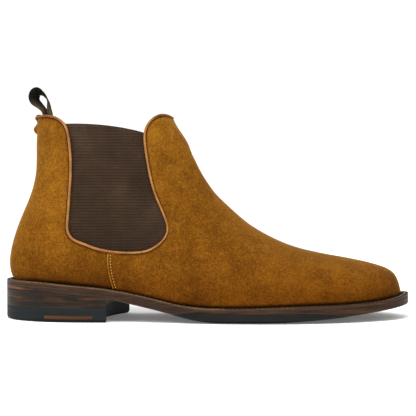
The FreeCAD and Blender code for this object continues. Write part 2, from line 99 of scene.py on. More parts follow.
BACK_EDGE = [
    (-134.0, 149.8), (-126.0, 150.8), (-118.0, 151.0), (-111.5, 149.6), (-106.6, 146.6), (-103.6, 142.4),
    (-102.2, 137.0), (-100.8, 124.0), (-100.5, 110.0), (-101.6, 92.0), (-102.8, 75.0), (-102.7, 66.5),
    (-99.5, 61.2), (-91.8, 57.6), (-82.0, 54.0), (-73.2, 52.1),
]
MEDIAL_BACK_EDGE = [
    (-134.0, 149.8), (-126.0, 150.6), (-119.5, 150.0), (-114.2, 147.6), (-110.0, 143.8), (-106.9, 139.4),
    (-104.6, 134.0), (-101.4, 121.5), *BACK_EDGE[8:],
]
FRONT_EDGE = [
    (-73.2, 52.1), (-62.0, 51.1), (-51.0, 51.3), (-43.5, 52.8), (-36.9, 56.4), (-31.7, 61.6),
    (-29.4, 67.4), (-30.3, 73.2), (-38.0, 91.6), (-42.0, 105.0), (-44.8, 120.0), (-46.4, 134.0),
    (-45.8, 141.0), (-43.0, 146.3), (-38.4, 150.4), (-33.2, 152.0), (-28.4, 150.9), (-20.0, 144.5),
]
SEAM_LINE = [(-73.2, 52.1), (-73.2, 41.0), (-72.0, 34.0), (-68.5, 22.0)]
ELASTIC_TOP = [(-111.0, 144.8), (-102.0, 145.2), (-84.0, 144.8), (-66.0, 142.9), (-48.0, 138.6),
               (-39.6, 135.2)]

# ---- sizes of the finer shapes ----
LEATHER = 1.6
TUCK = 2.3  # how far the upper is drawn in just above the welt
SEAM_LAP = 0.95  # how far the vamp stands out where it laps over the quarters
EDGE_DIP = 0.9  # how far the leather sinks beside the piping
PIPING_RADIUS = 0.94
FRONT_PIPING_RADIUS = 0.82
THREAD_RADIUS = 0.36
NOSE = 1.8  # how far the toe bulges past its first section
WELT_THICKNESS = 2.4
LINING = (3.0, 4.0)
ELASTIC = (1.75, 2.75)
INTERLINING = (1.75, 2.35)
RIB_PITCH = 1.1
RIB_HEIGHT = 0.42
TAB_WIDTH, TAB_THICKNESS = 14.5, 1.1
WELD = 0.002  # corners nearer to each other than this become one
WORLD_FRONT, WORLD_BACK = 0.35, 1.1

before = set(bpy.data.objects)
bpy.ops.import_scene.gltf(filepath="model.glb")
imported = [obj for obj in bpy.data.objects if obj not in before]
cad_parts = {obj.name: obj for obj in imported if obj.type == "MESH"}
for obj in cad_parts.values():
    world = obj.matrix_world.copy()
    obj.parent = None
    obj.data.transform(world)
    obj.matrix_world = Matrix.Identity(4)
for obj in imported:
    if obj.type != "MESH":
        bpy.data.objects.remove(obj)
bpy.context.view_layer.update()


# ---- curves and the surface of the last ----
def rise(low, high, value):
    """0 at low, 1 at high, and smooth between."""
    t = np.clip((value - low) / (high - low), 0, 1)
    return t * t * (3 - 2 * t)


def unit(vectors):
    return vectors / np.linalg.norm(vectors, axis=-1, keepdims=True)


def distances_along(line):
    return np.concatenate([[0], np.cumsum(np.linalg.norm(np.diff(line, axis=0), axis=1))])


def bends(knots, values):
    """Second derivatives of the natural cubic spline through values at knots."""
    count = len(knots)
    gaps = np.diff(knots)
    system = np.eye(count)
    right = np.zeros(values.shape)
    for i in range(1, count - 1):
        system[i, i - 1:i + 2] = gaps[i - 1], 2 * (gaps[i - 1] + gaps[i]), gaps[i]
        right[i] = 6 * ((values[i + 1] - values[i]) / gaps[i] - (values[i] - values[i - 1]) / gaps[i - 1])
    return np.linalg.solve(system, right)


def spline_at(knots, values, curving, t):
    """Points of a cubic spline at t, with the columns of values last."""
    t = np.asarray(t, float)
    i = np.clip(np.searchsorted(knots, t, side="right") - 1, 0, len(knots) - 2)
    gap = (knots[i + 1] - knots[i])[..., None]
    b = (t - knots[i])[..., None] / gap
    a = 1 - b
    bend = ((a**3 - a) * curving[i] + (b**3 - b) * curving[i + 1]) * gap**2 / 6
    return a * values[i] + b * values[i + 1] + bend


def curve_through(points, step=1.0, closed=False):
    """Smooth line through points, as points that are step apart."""
    points = np.array(points, float)
    if closed:
        points = np.concatenate([points[-4:], points, points[:5]])
    knots = distances_along(points)
    curving = bends(knots, points)
    low, high = (knots[4], knots[-5]) if closed else (knots[0], knots[-1])
    fine = spline_at(knots, points, curving, np.linspace(low, high, 3000))
    return resampled(fine, step)


def resampled(line, step):
    """Points of a line at even distances of about step."""
    along = distances_along(line)
    count = max(int(round(along[-1] / step)), 2)
    at = np.linspace(0, along[-1], count + 1)
    return np.stack([np.interp(at, along, line[:, k]) for k in range(line.shape[1])], axis=1)


def height_on(line, x):
    """Height of a side-view line at x, smooth between its points."""
    line = np.array(line, float)
    knots = line[:, 0]
    return spline_at(knots, line[:, 1:], bends(knots, line[:, 1:]), x)[..., 0]


SECTION_KNOTS = np.arange(len(SECTIONS), dtype=float)
SECTION_BENDS = bends(SECTION_KNOTS, SECTIONS)


def columns_at(s):
    return spline_at(SECTION_KNOTS, SECTIONS, SECTION_BENDS, s)


def side_lines(s, depth):
    """Ridge point, base point and columns of the section at s, with both points moved inwards by depth."""
    s = np.asarray(s, float)
    depth = np.asarray(depth, float)
    here = columns_at(s)
    run = columns_at(np.minimum(s + 0.02, LAST_S)) - columns_at(np.maximum(s - 0.02, 0))

    def moved(column, distance):
        dx, dz = run[..., column], run[..., column + 1]
        inward = distance / np.hypot(dx, dz)
        return np.stack([here[..., column] + inward * dz, here[..., column + 1] - inward * dx], axis=-1)

    return moved(0, -depth), moved(2, depth), here


def foot(s, u, depth):
    """Point of the last at section s. u is 0 on the ridge and pi on the base, and negative on the medial
    side. From 0 down to -1, s goes round the front of the toe."""
    s = np.asarray(s, float)
    turn = np.clip(-s, 0, 1) * math.pi / 2
    ridge, base, here = side_lines(np.maximum(s, 0), depth)
    centre, lateral, medial, widest, top_power, base_power = (here[..., k] for k in range(4, 10))
    along, out = np.abs(np.cos(u)), np.abs(np.sin(u))
    upper = np.abs(u) <= math.pi / 2
    power = np.where(upper, top_power, base_power)
    bend = along ** (2 / power)
    down = np.where(upper, widest * (1 - bend), widest + (1 - widest) * bend)
    half = np.where(u >= 0, depth - lateral, medial - depth) * np.cos(turn)
    x = ridge[..., 0] + down * (base[..., 0] - ridge[..., 0]) + NOSE * np.sin(turn) * rise(0, 0.5, down)
    z = ridge[..., 1] + down * (base[..., 1] - ridge[..., 1])
    return np.stack([x, centre + half * out ** (2 / power), z], axis=-1)


def flat_normals(s, u):
    """Level directions that point out of the last at s and u."""
    ahead, behind = foot(s + 0.03, u, np.zeros(s.shape)), foot(s - 0.03, u, np.zeros(s.shape))
    along = foot(s, u + 0.02, np.zeros(s.shape)) - foot(s, u - 0.02, np.zeros(s.shape))
    normals = np.cross(ahead - behind, along)
    normals[..., 2] = 0
    inwards = ((foot(s, u, np.zeros(s.shape)) - foot(s, u, np.full(s.shape, 2.0))) * normals).sum(-1) < 0
    normals[inwards] *= -1
    return normals / np.maximum(np.linalg.norm(normals, axis=-1, keepdims=True), 1e-9)


def find_section(x, z, depth):
    """Section whose line from ridge to base passes through x, z in side view."""
    low, high = np.zeros(x.shape), np.full(x.shape, LAST_S)
    for _ in range(30):
        middle = (low + high) / 2
        ridge, base, _ = side_lines(middle, depth)
        cross = ((base[..., 0] - ridge[..., 0]) * (z - ridge[..., 1])
                 - (base[..., 1] - ridge[..., 1]) * (x - ridge[..., 0]))
        low, high = np.where(cross < 0, middle, low), np.where(cross < 0, high, middle)
    return (low + high) / 2


def lift(x, z, side, depth):
    """Point of the last at x, z in side view. side is -1 for lateral and 1 for medial."""
    x, z = np.asarray(x, float), np.asarray(z, float)
    depth = np.broadcast_to(np.asarray(depth, float), x.shape)
    ridge, base, here = side_lines(find_section(x, z, depth), depth)
    centre, lateral, medial, widest, top_power, base_power = (here[..., k] for k in range(4, 10))
    chord = base - ridge
    down = ((x - ridge[..., 0]) * chord[..., 0] + (z - ridge[..., 1]) * chord[..., 1]) / (chord**2).sum(-1)
    top = np.clip((widest - down) / widest, 0, 1)
    bottom = np.clip((down - widest) / (1 - widest), 0, 1)
    share = np.where(down < widest, (1 - top**top_power) ** (1 / top_power),
                     (1 - bottom**base_power) ** (1 / base_power))
    half = np.where(side < 0, depth - lateral, medial - depth)
    return np.stack([x, centre + half * share, z], axis=-1)


def surface_normals(points, side):
    """Outward directions of the last at points that lie on it."""
    x, z = points[..., 0], points[..., 2]
    step = 0.4
    across = (lift(x + step, z, side, 0.0) - lift(x - step, z, side, 0.0))[..., 1] / (2 * step)
    up = (lift(x, z + step, side, 0.0) - lift(x, z - step, side, 0.0))[..., 1] / (2 * step)
    normals = np.stack([-across * side, np.full(x.shape, float(side)), -up * side], axis=-1)
    return unit(normals)


def shifted(line, distance):
    """A side-view line moved to its right-hand side by distance."""
    run = unit(np.gradient(line, axis=0))
    return line + distance * np.stack([run[:, 1], -run[:, 0]], axis=1)


def inside_distance(outline, x, z):
    """Distance to a closed side-view outline, positive inside it."""
    start, end = outline, np.roll(outline, -1, axis=0)
    edge = end - start
    size = np.maximum((edge**2).sum(1), 1e-12)
    climb = np.where(np.abs(edge[:, 1]) < 1e-12, 1e-12, edge[:, 1])
    places = np.stack([x.ravel(), z.ravel()], axis=1)
    result = np.empty(len(places))
    for k in range(0, len(places), 4000):
        some = places[k:k + 4000, None]
        away = some - start
        along = np.clip((away * edge).sum(2) / size, 0, 1)
        gap = np.linalg.norm(away - along[..., None] * edge, axis=2).min(1)
        between = (start[:, 1] > some[..., 1]) != (end[:, 1] > some[..., 1])
        left = some[..., 0] < start[:, 0] + edge[:, 0] * (some[..., 1] - start[:, 1]) / climb
        inside = (between & left).sum(1) % 2 == 1
        result[k:k + 4000] = np.where(inside, gap, -gap)
    return result.reshape(x.shape)


# ---- meshes ----
def clip_grid(values):
    """Cuts a grid along the line where values are 0. Returns the places of the corners, as row and column
    numbers that needn't be whole, and the polygons of the part where values are above 0."""
    rows, columns = values.shape
    slope_i, slope_j = np.gradient(values)
    steep = slope_i**2 + slope_j**2 + 1e-12
    move_i, move_j = -values * slope_i / steep, -values * slope_j / steep
    place = np.stack(np.meshgrid(np.arange(rows), np.arange(columns), indexing="ij"), axis=-1).astype(float)
    near = (np.hypot(move_i, move_j) < 0.3)
    near[[0, -1]] = False
    near[:, [0, -1]] = False
    place[..., 0] += np.where(near, move_i, 0)
    place[..., 1] += np.where(near, move_j, 0)
    values = np.where(near, 0.0, values)

    used, places, polygons, cuts = {}, [], [], {}

    def corner(i, j):
        if (i, j) not in used:
            used[i, j] = len(places)
            places.append(place[i, j])
        return used[i, j]

    def cut(a, b):
        key = (min(a, b), max(a, b))
        if key not in cuts:
            t = values[a] / (values[a] - values[b])
            cuts[key] = len(places)
            places.append(place[a] * (1 - t) + place[b] * t)
        return cuts[key]

    block = np.stack([values[:-1, :-1], values[1:, :-1], values[1:, 1:], values[:-1, 1:]])
    for i, j in zip(*np.nonzero((block > 0).any(0))):
        ring = [(i, j), (i + 1, j), (i + 1, j + 1), (i, j + 1)]
        polygon = []
        for a, b in zip(ring, ring[1:] + ring[:1]):
            if values[a] >= 0:
                polygon.append(corner(*a))
            if values[a] * values[b] < 0:
                polygon.append(cut(a, b))
        if len(polygon) > 2:
            polygons.append(polygon)
    return np.array(places), polygons


def grid_value(grid, places):
    """Values of a grid at places between its rows and columns."""
    i = np.clip(places[:, 0].astype(int), 0, grid.shape[0] - 2)
    j = np.clip(places[:, 1].astype(int), 0, grid.shape[1] - 2)
    a, b = places[:, 0] - i, places[:, 1] - j
    return ((1 - a) * (1 - b) * grid[i, j] + a * (1 - b) * grid[i + 1, j]
            + (1 - a) * b * grid[i, j + 1] + a * b * grid[i + 1, j + 1])


def plate(outer, inner, polygons, open_edge=None):
    """Vertices and faces of a thin closed piece between two surfaces that share their polygons."""
    count = len(outer)
    edges = {}
    for polygon in polygons:
        for a, b in zip(polygon, polygon[1:] + polygon[:1]):
            edges[a, b] = True
    faces = [list(p) for p in polygons] + [[v + count for v in reversed(p)] for p in polygons]
    for a, b in edges:
        if (b, a) not in edges and not (open_edge is not None and open_edge(a, b)):
            faces.append([b, a, a + count, b + count])
    return np.concatenate([outer, inner]), faces


def ring_faces(rings, size, looped=False):
    """Faces between neighbouring rings of size corners each."""
    faces = []
    for k in range(rings if looped else rings - 1):
        here, there = k * size, (k + 1) % rings * size
        for i in range(size):
            j = (i + 1) % size
            faces.append([here + i, here + j, there + j, there + i])
    return faces


def capped_faces(rings, size):
    """Faces of a bar made of rings, with both ends closed."""
    start, end = list(range(size))[::-1], [(rings - 1) * size + i for i in range(size)]
    return ring_faces(rings, size) + [start, end]


def tube(line, radius, around):
    """Vertices and faces of a round cord along a line. radius is a number or one for each point."""
    count = len(line)
    radius = np.broadcast_to(np.asarray(radius, float), (count,))
    run = unit(np.gradient(line, axis=0))
    side = np.cross(run[0], (0.31, 0.23, 0.92))
    angles = np.linspace(0, 2 * math.pi, around, endpoint=False)
    vertices = []
    for k in range(count):
        side = side - run[k] * side.dot(run[k])
        side /= np.linalg.norm(side)
        other = np.cross(run[k], side)
        vertices += [line[k] + radius[k] * (math.cos(t) * side + math.sin(t) * other) for t in angles]
    return np.array(vertices), capped_faces(count, around)


def joined(parts):
    """Several vertex and face lists as one."""
    vertices, faces, start = [], [], 0
    for some_vertices, some_faces in parts:
        vertices.append(some_vertices)
        faces += [[v + start for v in face] for face in some_faces]
        start += len(some_vertices)
    return np.concatenate(vertices), faces


def make_piece(name, shape, material, replaces=(), body=BODY, sharp=50):
    """A new piece of the boot from vertices in millimetres and faces."""
    vertices, faces = shape
    mesh = bpy.data.meshes.new(name)
    mesh.from_pydata((np.asarray(vertices, float) * MM).tolist(), [], faces)
    mesh.validate()
    piece = bpy.data.objects.new(name, mesh)
    bpy.context.scene.collection.objects.link(piece)
    tidy_mesh(mesh, sharp)
    mesh.materials.append(material)
    if body:
        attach(piece, body)
    if replaces:
        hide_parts(*replaces)
    return piece


def paint(piece, material, chosen):
    """Gives another material to the faces whose middle in millimetres and direction pass a test."""
    mesh = piece.data
    mesh.materials.append(material)
    for face in mesh.polygons:
        if chosen(face.center / MM, face.normal):
            face.material_index = len(mesh.materials) - 1


def tidy_mesh(mesh, sharp):
    """Welds double corners, turns the faces outwards and makes edges sharper than an angle crisp."""
    work = bmesh.new()
    work.from_mesh(mesh)
    bmesh.ops.remove_doubles(work, verts=work.verts, dist=WELD * MM)
    bmesh.ops.dissolve_degenerate(work, edges=work.edges, dist=WELD * MM)
    bmesh.ops.recalc_face_normals(work, faces=work.faces)
    limit = math.radians(sharp)
    for face in work.faces:
        face.smooth = True
    for edge in work.edges:
        if len(edge.link_faces) == 2 and edge.calc_face_angle(0) > limit:
            edge.smooth = False
    work.to_mesh(mesh)
    work.free()
    mesh.update()


# ---- materials ----
# What the colours are multiplied by at heights above the ground, in metres times a factor.
# Suede: painted shade, darker and more orange below about 120 mm and most below 50 mm, for light falling from
# above.
SUEDE_FOOT_SHADE = 8.0, ((0.16, (0.54, 0.42, 0.22, 1)), (0.42, (0.79, 0.74, 0.63, 1)),
                    (0.95, (0.98, 0.97, 0.96, 1)))
PIPING_TONES = 6.0, ((0.865, 1.0), (0.9, (0.62, 0.5, 0.3, 1)))
# Elastic: painted shade, darker towards the bottom of the gussets and full colour at the top.
ELASTIC_LOW_SHADE = 6.0, ((0.35, (0.80, 0.78, 0.72, 1)), (0.85, 1.0))
# Rubber: painted contact shade, nearly black within 1.5 mm of the ground.
RUBBER_CONTACT_SHADE = 200.0, ((0.3, 0.1), (0.5, 1.0))
# Noise in the suede's colour: its scale, detail and share. Then the bumps: noise scale, detail and
# roughness, depth in millimetres and strength.
SUEDE_NOISE = ((14, 1.0, 0.16), (40, 2.0, 0.14), (130, 2.0, 0.13), (480, 3.0, 0.20), (1150, 2.0, 0.37))
SUEDE_BUMPS = ((130, 3.0, 0.6, 0.2, 0.5), (480, 3.0, 0.7, 0.13, 0.6), (1000, 2.0, 0.7, 0.12, 0.8))


def colour(red, green, blue):
    """A colour given by display values from 0 to 255."""
    def linear(value):
        value /= 255
        return value / 12.92 if value <= 0.04045 else ((value + 0.055) / 1.055) ** 2.4
    return (linear(red), linear(green), linear(blue), 1.0)


class Look:
    """A node material being put together."""

    def __init__(self, name, roughness=0.6, **sockets):
        self.material = bpy.data.materials.new(name)
        self.material.use_nodes = True
        self.nodes = self.material.node_tree.nodes
        self.links = self.material.node_tree.links
        self.shader = self.nodes["Principled BSDF"]
        self.shader.inputs["Roughness"].default_value = roughness
        for socket, value in sockets.items():
            self.shader.inputs[socket.replace("_", " ")].default_value = value
        self.place = self.node("ShaderNodeTexCoord").outputs["Object"]
        self.height = None

    def node(self, kind, **settings):
        made = self.nodes.new(kind)
        for name, value in settings.items():
            setattr(made, name, value)
        return made

    def feed(self, socket, value):
        if isinstance(value, bpy.types.NodeSocket):
            self.links.new(value, socket)
        elif isinstance(value, tuple) and len(value) == 3:
            socket.default_value = colour(*value)
        else:
            socket.default_value = value

    def up(self):
        """Height above the ground in metres."""
        split = self.node("ShaderNodeSeparateXYZ")
        self.feed(split.inputs[0], self.place)
        return split.outputs["Z"]

    def stretched(self, x, y, z, turn=(0, 0, 0)):
        """Coordinates with each axis multiplied."""
        mapping = self.node("ShaderNodeMapping")
        self.feed(mapping.inputs["Vector"], self.place)
        mapping.inputs["Scale"].default_value = (x, y, z)
        mapping.inputs["Rotation"].default_value = turn
        return mapping.outputs["Vector"]

    def noise(self, scale, detail=2.0, rough=0.5, where=None, distortion=0.0):
        made = self.node("ShaderNodeTexNoise")
        self.feed(made.inputs["Vector"], self.place if where is None else where)
        made.inputs["Scale"].default_value = scale
        made.inputs["Detail"].default_value = detail
        made.inputs["Roughness"].default_value = rough
        made.inputs["Distortion"].default_value = distortion
        return made.outputs["Fac"]

    def ramp(self, value, *stops):
        """Numbers or colours at places along a value. Three numbers are display values from 0 to 255."""
        made = self.node("ShaderNodeValToRGB")
        self.feed(made.inputs["Fac"], value)
        elements = made.color_ramp.elements
        while len(elements) < len(stops):
            elements.new(0.5)
        for element, (place, tint) in zip(elements, stops):
            element.position = place
            if not isinstance(tint, tuple):
                tint = (tint, tint, tint, 1.0)
            element.color = colour(*tint) if len(tint) == 3 else tint
        return made.outputs["Color"]

    def mix(self, share, first, second, blend="MIX"):
        made = self.node("ShaderNodeMix", data_type="RGBA", blend_type=blend)
        self.feed(made.inputs["Factor"], share)
        inputs = [s for s in made.inputs if s.type == "RGBA"]
        self.feed(inputs[0], first)
        self.feed(inputs[1], second)
        return [s for s in made.outputs if s.type == "RGBA"][0]

    def math(self, operation, first, second=0.0):
        made = self.node("ShaderNodeMath", operation=operation)
        self.feed(made.inputs[0], first)
        self.feed(made.inputs[1], second)
        return made.outputs[0]

    def scaled(self, value, factor):
        return self.math("MULTIPLY", value, factor)

    def sum(self, *parts):
        """Sum of values, each times its share."""
        total = None
        for value, share in parts:
            part = self.scaled(value, share)
            total = part if total is None else self.math("ADD", total, part)
        return total

    def base(self, value, tones=None):
        """Sets the colour. tones is a factor and the ramp that multiplies the colour at height times it."""
        if tones:
            factor, stops = tones
            value = self.mix(1.0, value, self.ramp(self.scaled(self.up(), factor), *stops), "MULTIPLY")
        self.feed(self.shader.inputs["Base Color"], value)

    def bump(self, value, distance, strength=1.0):
        made = self.node("ShaderNodeBump")
        made.inputs["Strength"].default_value = strength
        made.inputs["Distance"].default_value = distance * MM
        self.feed(made.inputs["Height"], value)
        if self.height is not None:
            self.links.new(self.height, made.inputs["Normal"])
        self.height = made.outputs["Normal"]
        self.links.new(self.height, self.shader.inputs["Normal"])


def suede_look(name, dark, middle, light):
    """Brushed suede: patches where the nap lies another way, fine speckle, and painted shade that darkens it
    towards the foot.
    """
    look = Look(name, 0.95, Sheen_Weight=0.25, Sheen_Roughness=0.35, Sheen_Tint=colour(240, 190, 90),
                Specular_IOR_Level=0.06)
    tone = look.sum(*[(look.noise(scale, detail, 0.6, distortion=0.2), share)
                      for scale, detail, share in SUEDE_NOISE])
    # The height ramp paints shade onto the suede towards the foot.
    look.base(look.ramp(tone, (0.405, dark), (0.5, middle), (0.6, light)), SUEDE_FOOT_SHADE)
    for scale, detail, rough, depth, strength in SUEDE_BUMPS:
        look.bump(look.noise(scale, detail, rough), depth, strength)
    return look.material


def smooth_leather(name, dark, light, roughness=0.5, grain=900, depth=0.06, scale=60, shine=0.3, tones=None):
    look = Look(name, roughness, Specular_IOR_Level=shine)
    tone = look.sum((look.noise(scale, 3.0), 0.6), (look.noise(grain, 2.0), 0.4))
    look.base(look.ramp(tone, (0.35, dark), (0.65, light)), tones)
    look.bump(look.noise(grain, 3.0, 0.6), depth, 0.7)
    return look.material


def elastic_look():
    """Woven elastic: painted shade in the grooves between the ribs, a fine weave on them, and painted shade
    that darkens the lower part.
    """
    look = Look("ribbed_elastic", 0.9, Specular_IOR_Level=0.12)
    # Painted shade: a wave of near-black colour in the grooves between the ribs.
    groove_shade = look.node("ShaderNodeTexWave", wave_type="BANDS", bands_direction="Z", wave_profile="SIN")
    look.feed(groove_shade.inputs["Vector"], look.place)
    groove_shade.inputs["Scale"].default_value = math.pi / (10 * RIB_PITCH * MM)
    weave = look.noise(1500, 2.0, 0.6)
    tone = look.sum((weave, 0.5), (look.noise(45, 3.0, 0.6), 0.5))
    shade = look.ramp(tone, (0.34, (52, 38, 27)), (0.5, (66, 49, 36)), (0.66, (82, 63, 48)))
    # The grooves get painted shade, and the height ramp paints the lower elastic darker.
    look.base(look.mix(look.scaled(groove_shade.outputs["Fac"], 0.8), shade, (27, 20, 14)), ELASTIC_LOW_SHADE)
    look.bump(weave, 0.08, 0.5)
    return look.material


def edge_leather(name, dark, middle, light, accent, amount, accent_levels=()):
    """Cut and polished leather edges: thin level streaks, with a little of the raw colour showing, most of
    all at some heights in millimetres."""
    look = Look(name, 0.5, Specular_IOR_Level=0.13)
    flat = look.stretched(1.0, 1.0, 16.0)
    thin = look.noise(110, 3.0, 0.6, where=flat)
    streaks, patches = look.noise(26, 4.0, 0.6, where=flat), look.noise(60, 3.0, 0.6)
    tone = look.sum((streaks, 0.45), (thin, 0.35), (patches, 0.20))
    shade = look.ramp(tone, (0.38, dark), (0.5, middle), (0.64, light))
    spots = look.noise(30, 3.0, 0.6, where=look.stretched(1, 1, 14))
    raw = look.ramp(spots, (0.54, 0.0), (0.68, 0.4 * amount))
    for level in accent_levels:
        away = look.math("ABSOLUTE", look.math("SUBTRACT", look.up(), level * MM))
        near = look.ramp(look.scaled(away, 400.0), (0.0, amount), (0.5, 0.0))
        worn = look.ramp(look.noise(70, 2.0, 0.6), (0.42, 0.0), (0.6, 1.0))
        raw = look.math("MAXIMUM", raw, look.math("MULTIPLY", near, worn))
    look.base(look.mix(raw, shade, accent))
    look.bump(thin, 0.12, 0.5)
    return look.material


def rubber_look(name, dark, light):
    """Matt rubber, with painted contact shade that darkens it within two millimetres of the ground."""
    look = Look(name, 0.65, Specular_IOR_Level=0.16)
    tone = look.sum((look.noise(50, 4.0, 0.6), 0.6), (look.noise(1200, 2.0, 0.6), 0.4))
    look.base(look.ramp(tone, (0.36, dark), (0.64, light)), RUBBER_CONTACT_SHADE)
    look.bump(look.noise(1500, 3.0, 0.7), 0.08, 0.6)
    return look.material


def thread_look(name, dark, light):
    look = Look(name, 0.8, Specular_IOR_Level=0.1)
    twist = look.noise(2200, 1.0, 0.5, where=look.stretched(1.0, 1.0, 1.0, (0.4, 0.7, 0.2)))
    look.base(look.ramp(twist, (0.35, dark), (0.65, light)))
    look.bump(twist, 0.08, 0.7)
    return look.material


def webbing_look():
    """Woven tape: a lit brown copy lower down near the collar, as painted light, and a near-black copy higher
    up, as painted shade on the loop's inner face.
    """
    look = Look("webbing", 0.85, Specular_IOR_Level=0.12)
    weave = look.noise(1100, 2.0, 0.6, where=look.stretched(1.0, 1.0, 0.5))
    tone = look.sum((weave, 0.6), (look.noise(120, 3.0, 0.6), 0.4))
    # Two copies of one tape colour: a shaded near-black copy and a lit brown copy, painted light and shade.
    shaded_strand = look.ramp(tone, (0.36, (13, 11, 8)), (0.52, (25, 21, 16)), (0.68, (50, 43, 33)))
    lit_strand = look.ramp(tone, (0.36, (40, 30, 22)), (0.52, (78, 63, 48)), (0.68, (116, 98, 74)))
    # share paints the lit copy below 155 mm and the shaded copy above 165 mm.
    share = look.ramp(look.scaled(look.up(), 5.0), (0.775, 1.0), (0.825, 0.0))
    look.base(look.mix(share, shaded_strand, lit_strand))
    look.bump(weave, 0.15, 0.8)
    return look.material


def metal_look(name, tint, roughness):
    look = Look(name, roughness, Metallic=1.0)
    look.base(look.ramp(look.noise(400, 3.0), (0.3, tuple(0.7 * c for c in tint[:3]) + (1.0,)), (0.7, tint)))
    look.bump(look.noise(900, 2.0), 0.03, 0.5)
    return look.material


def cork_look():
    look = Look("cork", 0.9)
    cells = look.node("ShaderNodeTexVoronoi")
    look.feed(cells.inputs["Vector"], look.place)
    cells.inputs["Scale"].default_value = 700
    look.base(look.ramp(cells.outputs["Distance"], (0.1, (196, 160, 112)), (0.8, (110, 76, 44))))
    look.bump(cells.outputs["Distance"], 0.3, 0.6)
    return look.material


LOOKS = {
    "suede": suede_look("suede", (87, 50, 6), (111, 69, 11), (142, 94, 24)),
    "stay": suede_look("suede_stay", (78, 42, 6), (112, 66, 14), (140, 88, 28)),
    # Paler suede for the vamp's cut edge: partly the cut edge's own paler colour, partly a painted highlight
    # on the step.
    "suede_cut_edge_highlight": suede_look("suede_cut_edge_highlight", (134, 88, 22), (172, 122, 42), (205, 156, 72)),
    "piping": smooth_leather("piping_leather", (115, 71, 25), (161, 107, 48), 0.6, 1200, 0.05, 120,
                             tones=PIPING_TONES),
    "elastic": elastic_look(),
    "lining": smooth_leather("lining_leather", (150, 104, 64), (182, 134, 88), 0.6),
    "sock": smooth_leather("sock_leather", (140, 98, 60), (176, 130, 86), 0.5),
    "insole": smooth_leather("insole_leather", (164, 124, 84), (196, 154, 108), 0.7),
    "welt": edge_leather("welt_edge", (34, 22, 13), (54, 35, 21), (78, 52, 33), (108, 62, 32), 0.35),
    # Near-black painted shade for the welt's top, in the crease under the upper.
    "welt_top_crease_shade": smooth_leather("welt_top_crease_shade", (16, 14, 11), (30, 26, 21), 0.8, 900, 0.06, 80, 0.04),
    # Lighter painted highlight for the welt's upward-facing rounded edge at the back.
    "welt_edge_highlight": smooth_leather("welt_edge_highlight", (72, 52, 36), (122, 93, 68), 0.6, 900, 0.05, 90, 0.1),
    "edge": edge_leather("sole_edge", (24, 16, 10), (44, 29, 18), (68, 46, 29), (112, 62, 30), 0.3),
    "raw_edge": edge_leather("raw_edge", (26, 18, 12), (46, 31, 21), (72, 50, 34), (122, 70, 36), 1.7),
    "heel": edge_leather("heel_edge", (19, 15, 10), (32, 24, 16), (49, 36, 24), (104, 58, 30), 0.45, (17.4,)),
    "sole_under": smooth_leather("sole_leather", (58, 44, 34), (82, 62, 46), 0.45, 700, 0.05, 40),
    "rubber": rubber_look("sole_rubber", (9, 10, 9), (21, 22, 19)),
    "lift_rubber": rubber_look("heel_rubber", (13, 18, 19), (23, 29, 30)),
    "inlay": edge_leather("inlay_edge", (53, 29, 13), (72, 42, 20), (90, 55, 28), (104, 63, 31), 0.5),
    # Dark thread, also used for the dark tube that is painted shadow in the side seam channel.
    "dark_thread_and_shadow": thread_look("seam_thread", (58, 28, 8), (92, 50, 16)),
    "light_thread": thread_look("seam_thread_light", (156, 107, 42), (200, 152, 76)),
    "welt_thread": thread_look("welt_thread", (110, 98, 78), (158, 146, 120)),
    "webbing": webbing_look(),
    "stiffener": smooth_leather("stiffener_board", (190, 180, 160), (220, 212, 196), 0.8),
    "interlining": smooth_leather("interlining_cloth", (206, 200, 188), (228, 224, 214), 0.9),
    "cork": cork_look(),
    "steel": metal_look("nail_steel", colour(176, 178, 182), 0.4),
    "brass": metal_look("nail_brass", colour(200, 164, 92), 0.35),
}


# ---- side-view lines ----
BACK_LINES = {"lateral": curve_through(BACK_EDGE), "medial": curve_through(MEDIAL_BACK_EDGE)}
FRONT_LINE = curve_through(FRONT_EDGE)
SEAM = curve_through(SEAM_LINE)
TOP_LINE = curve_through(ELASTIC_TOP)


def seat_run(x_low, x_high, drop=0.4):
    x = np.arange(x_low, x_high, 2.0)
    return np.stack([x, height_on(SEAT_LINE, x) - drop], axis=1)


def front_outline(step):
    """Closed outline of the vamp, whose edge is step below the line of the piping."""
    edge = shifted(FRONT_LINE, step)
    foot_x = SEAM[-1, 0]
    seam = SEAM[(SEAM[:, 1] < edge[0, 1] - 0.5) & (SEAM[:, 1] > height_on(SEAT_LINE, foot_x))]
    return np.concatenate([edge, [(-10, 175), (175, 175)], seat_run(seam[-1, 0] + 1, 160)[::-1], seam[::-1]])


def back_outline(line, step, seam_shift):
    """Closed outline of the quarters. seam_shift moves their front edge under the vamp."""
    edge = shifted(line, step)
    seam = SEAM + (seam_shift, 0)
    seam = seam[(seam[:, 1] < edge[-1, 1] - 0.5) & (seam[:, 1] > height_on(SEAT_LINE, seam[-1, 0]))]
    return np.concatenate([edge, seam, seat_run(-158, seam[-1, 0] - 1)[::-1], [(-165, 30), (-165, 150)]])


def wobble(points, scale, seed):
    """Gentle unevenness at points in millimetres, about -1 to 1."""
    shift = Vector((seed * 17.3, seed * 5.1, seed * 9.7))
    return np.array([noise.noise(Vector(p) * scale + shift) for p in points])


def last_grid(u_low, u_high, across, per_section=12):
    s = np.concatenate([np.linspace(-1, 0, 8)[:-1], np.linspace(0, LAST_S, int(LAST_S) * per_section + 1)])
    u = np.linspace(u_low, u_high, across)
    return np.meshgrid(s, u, indexing="ij")


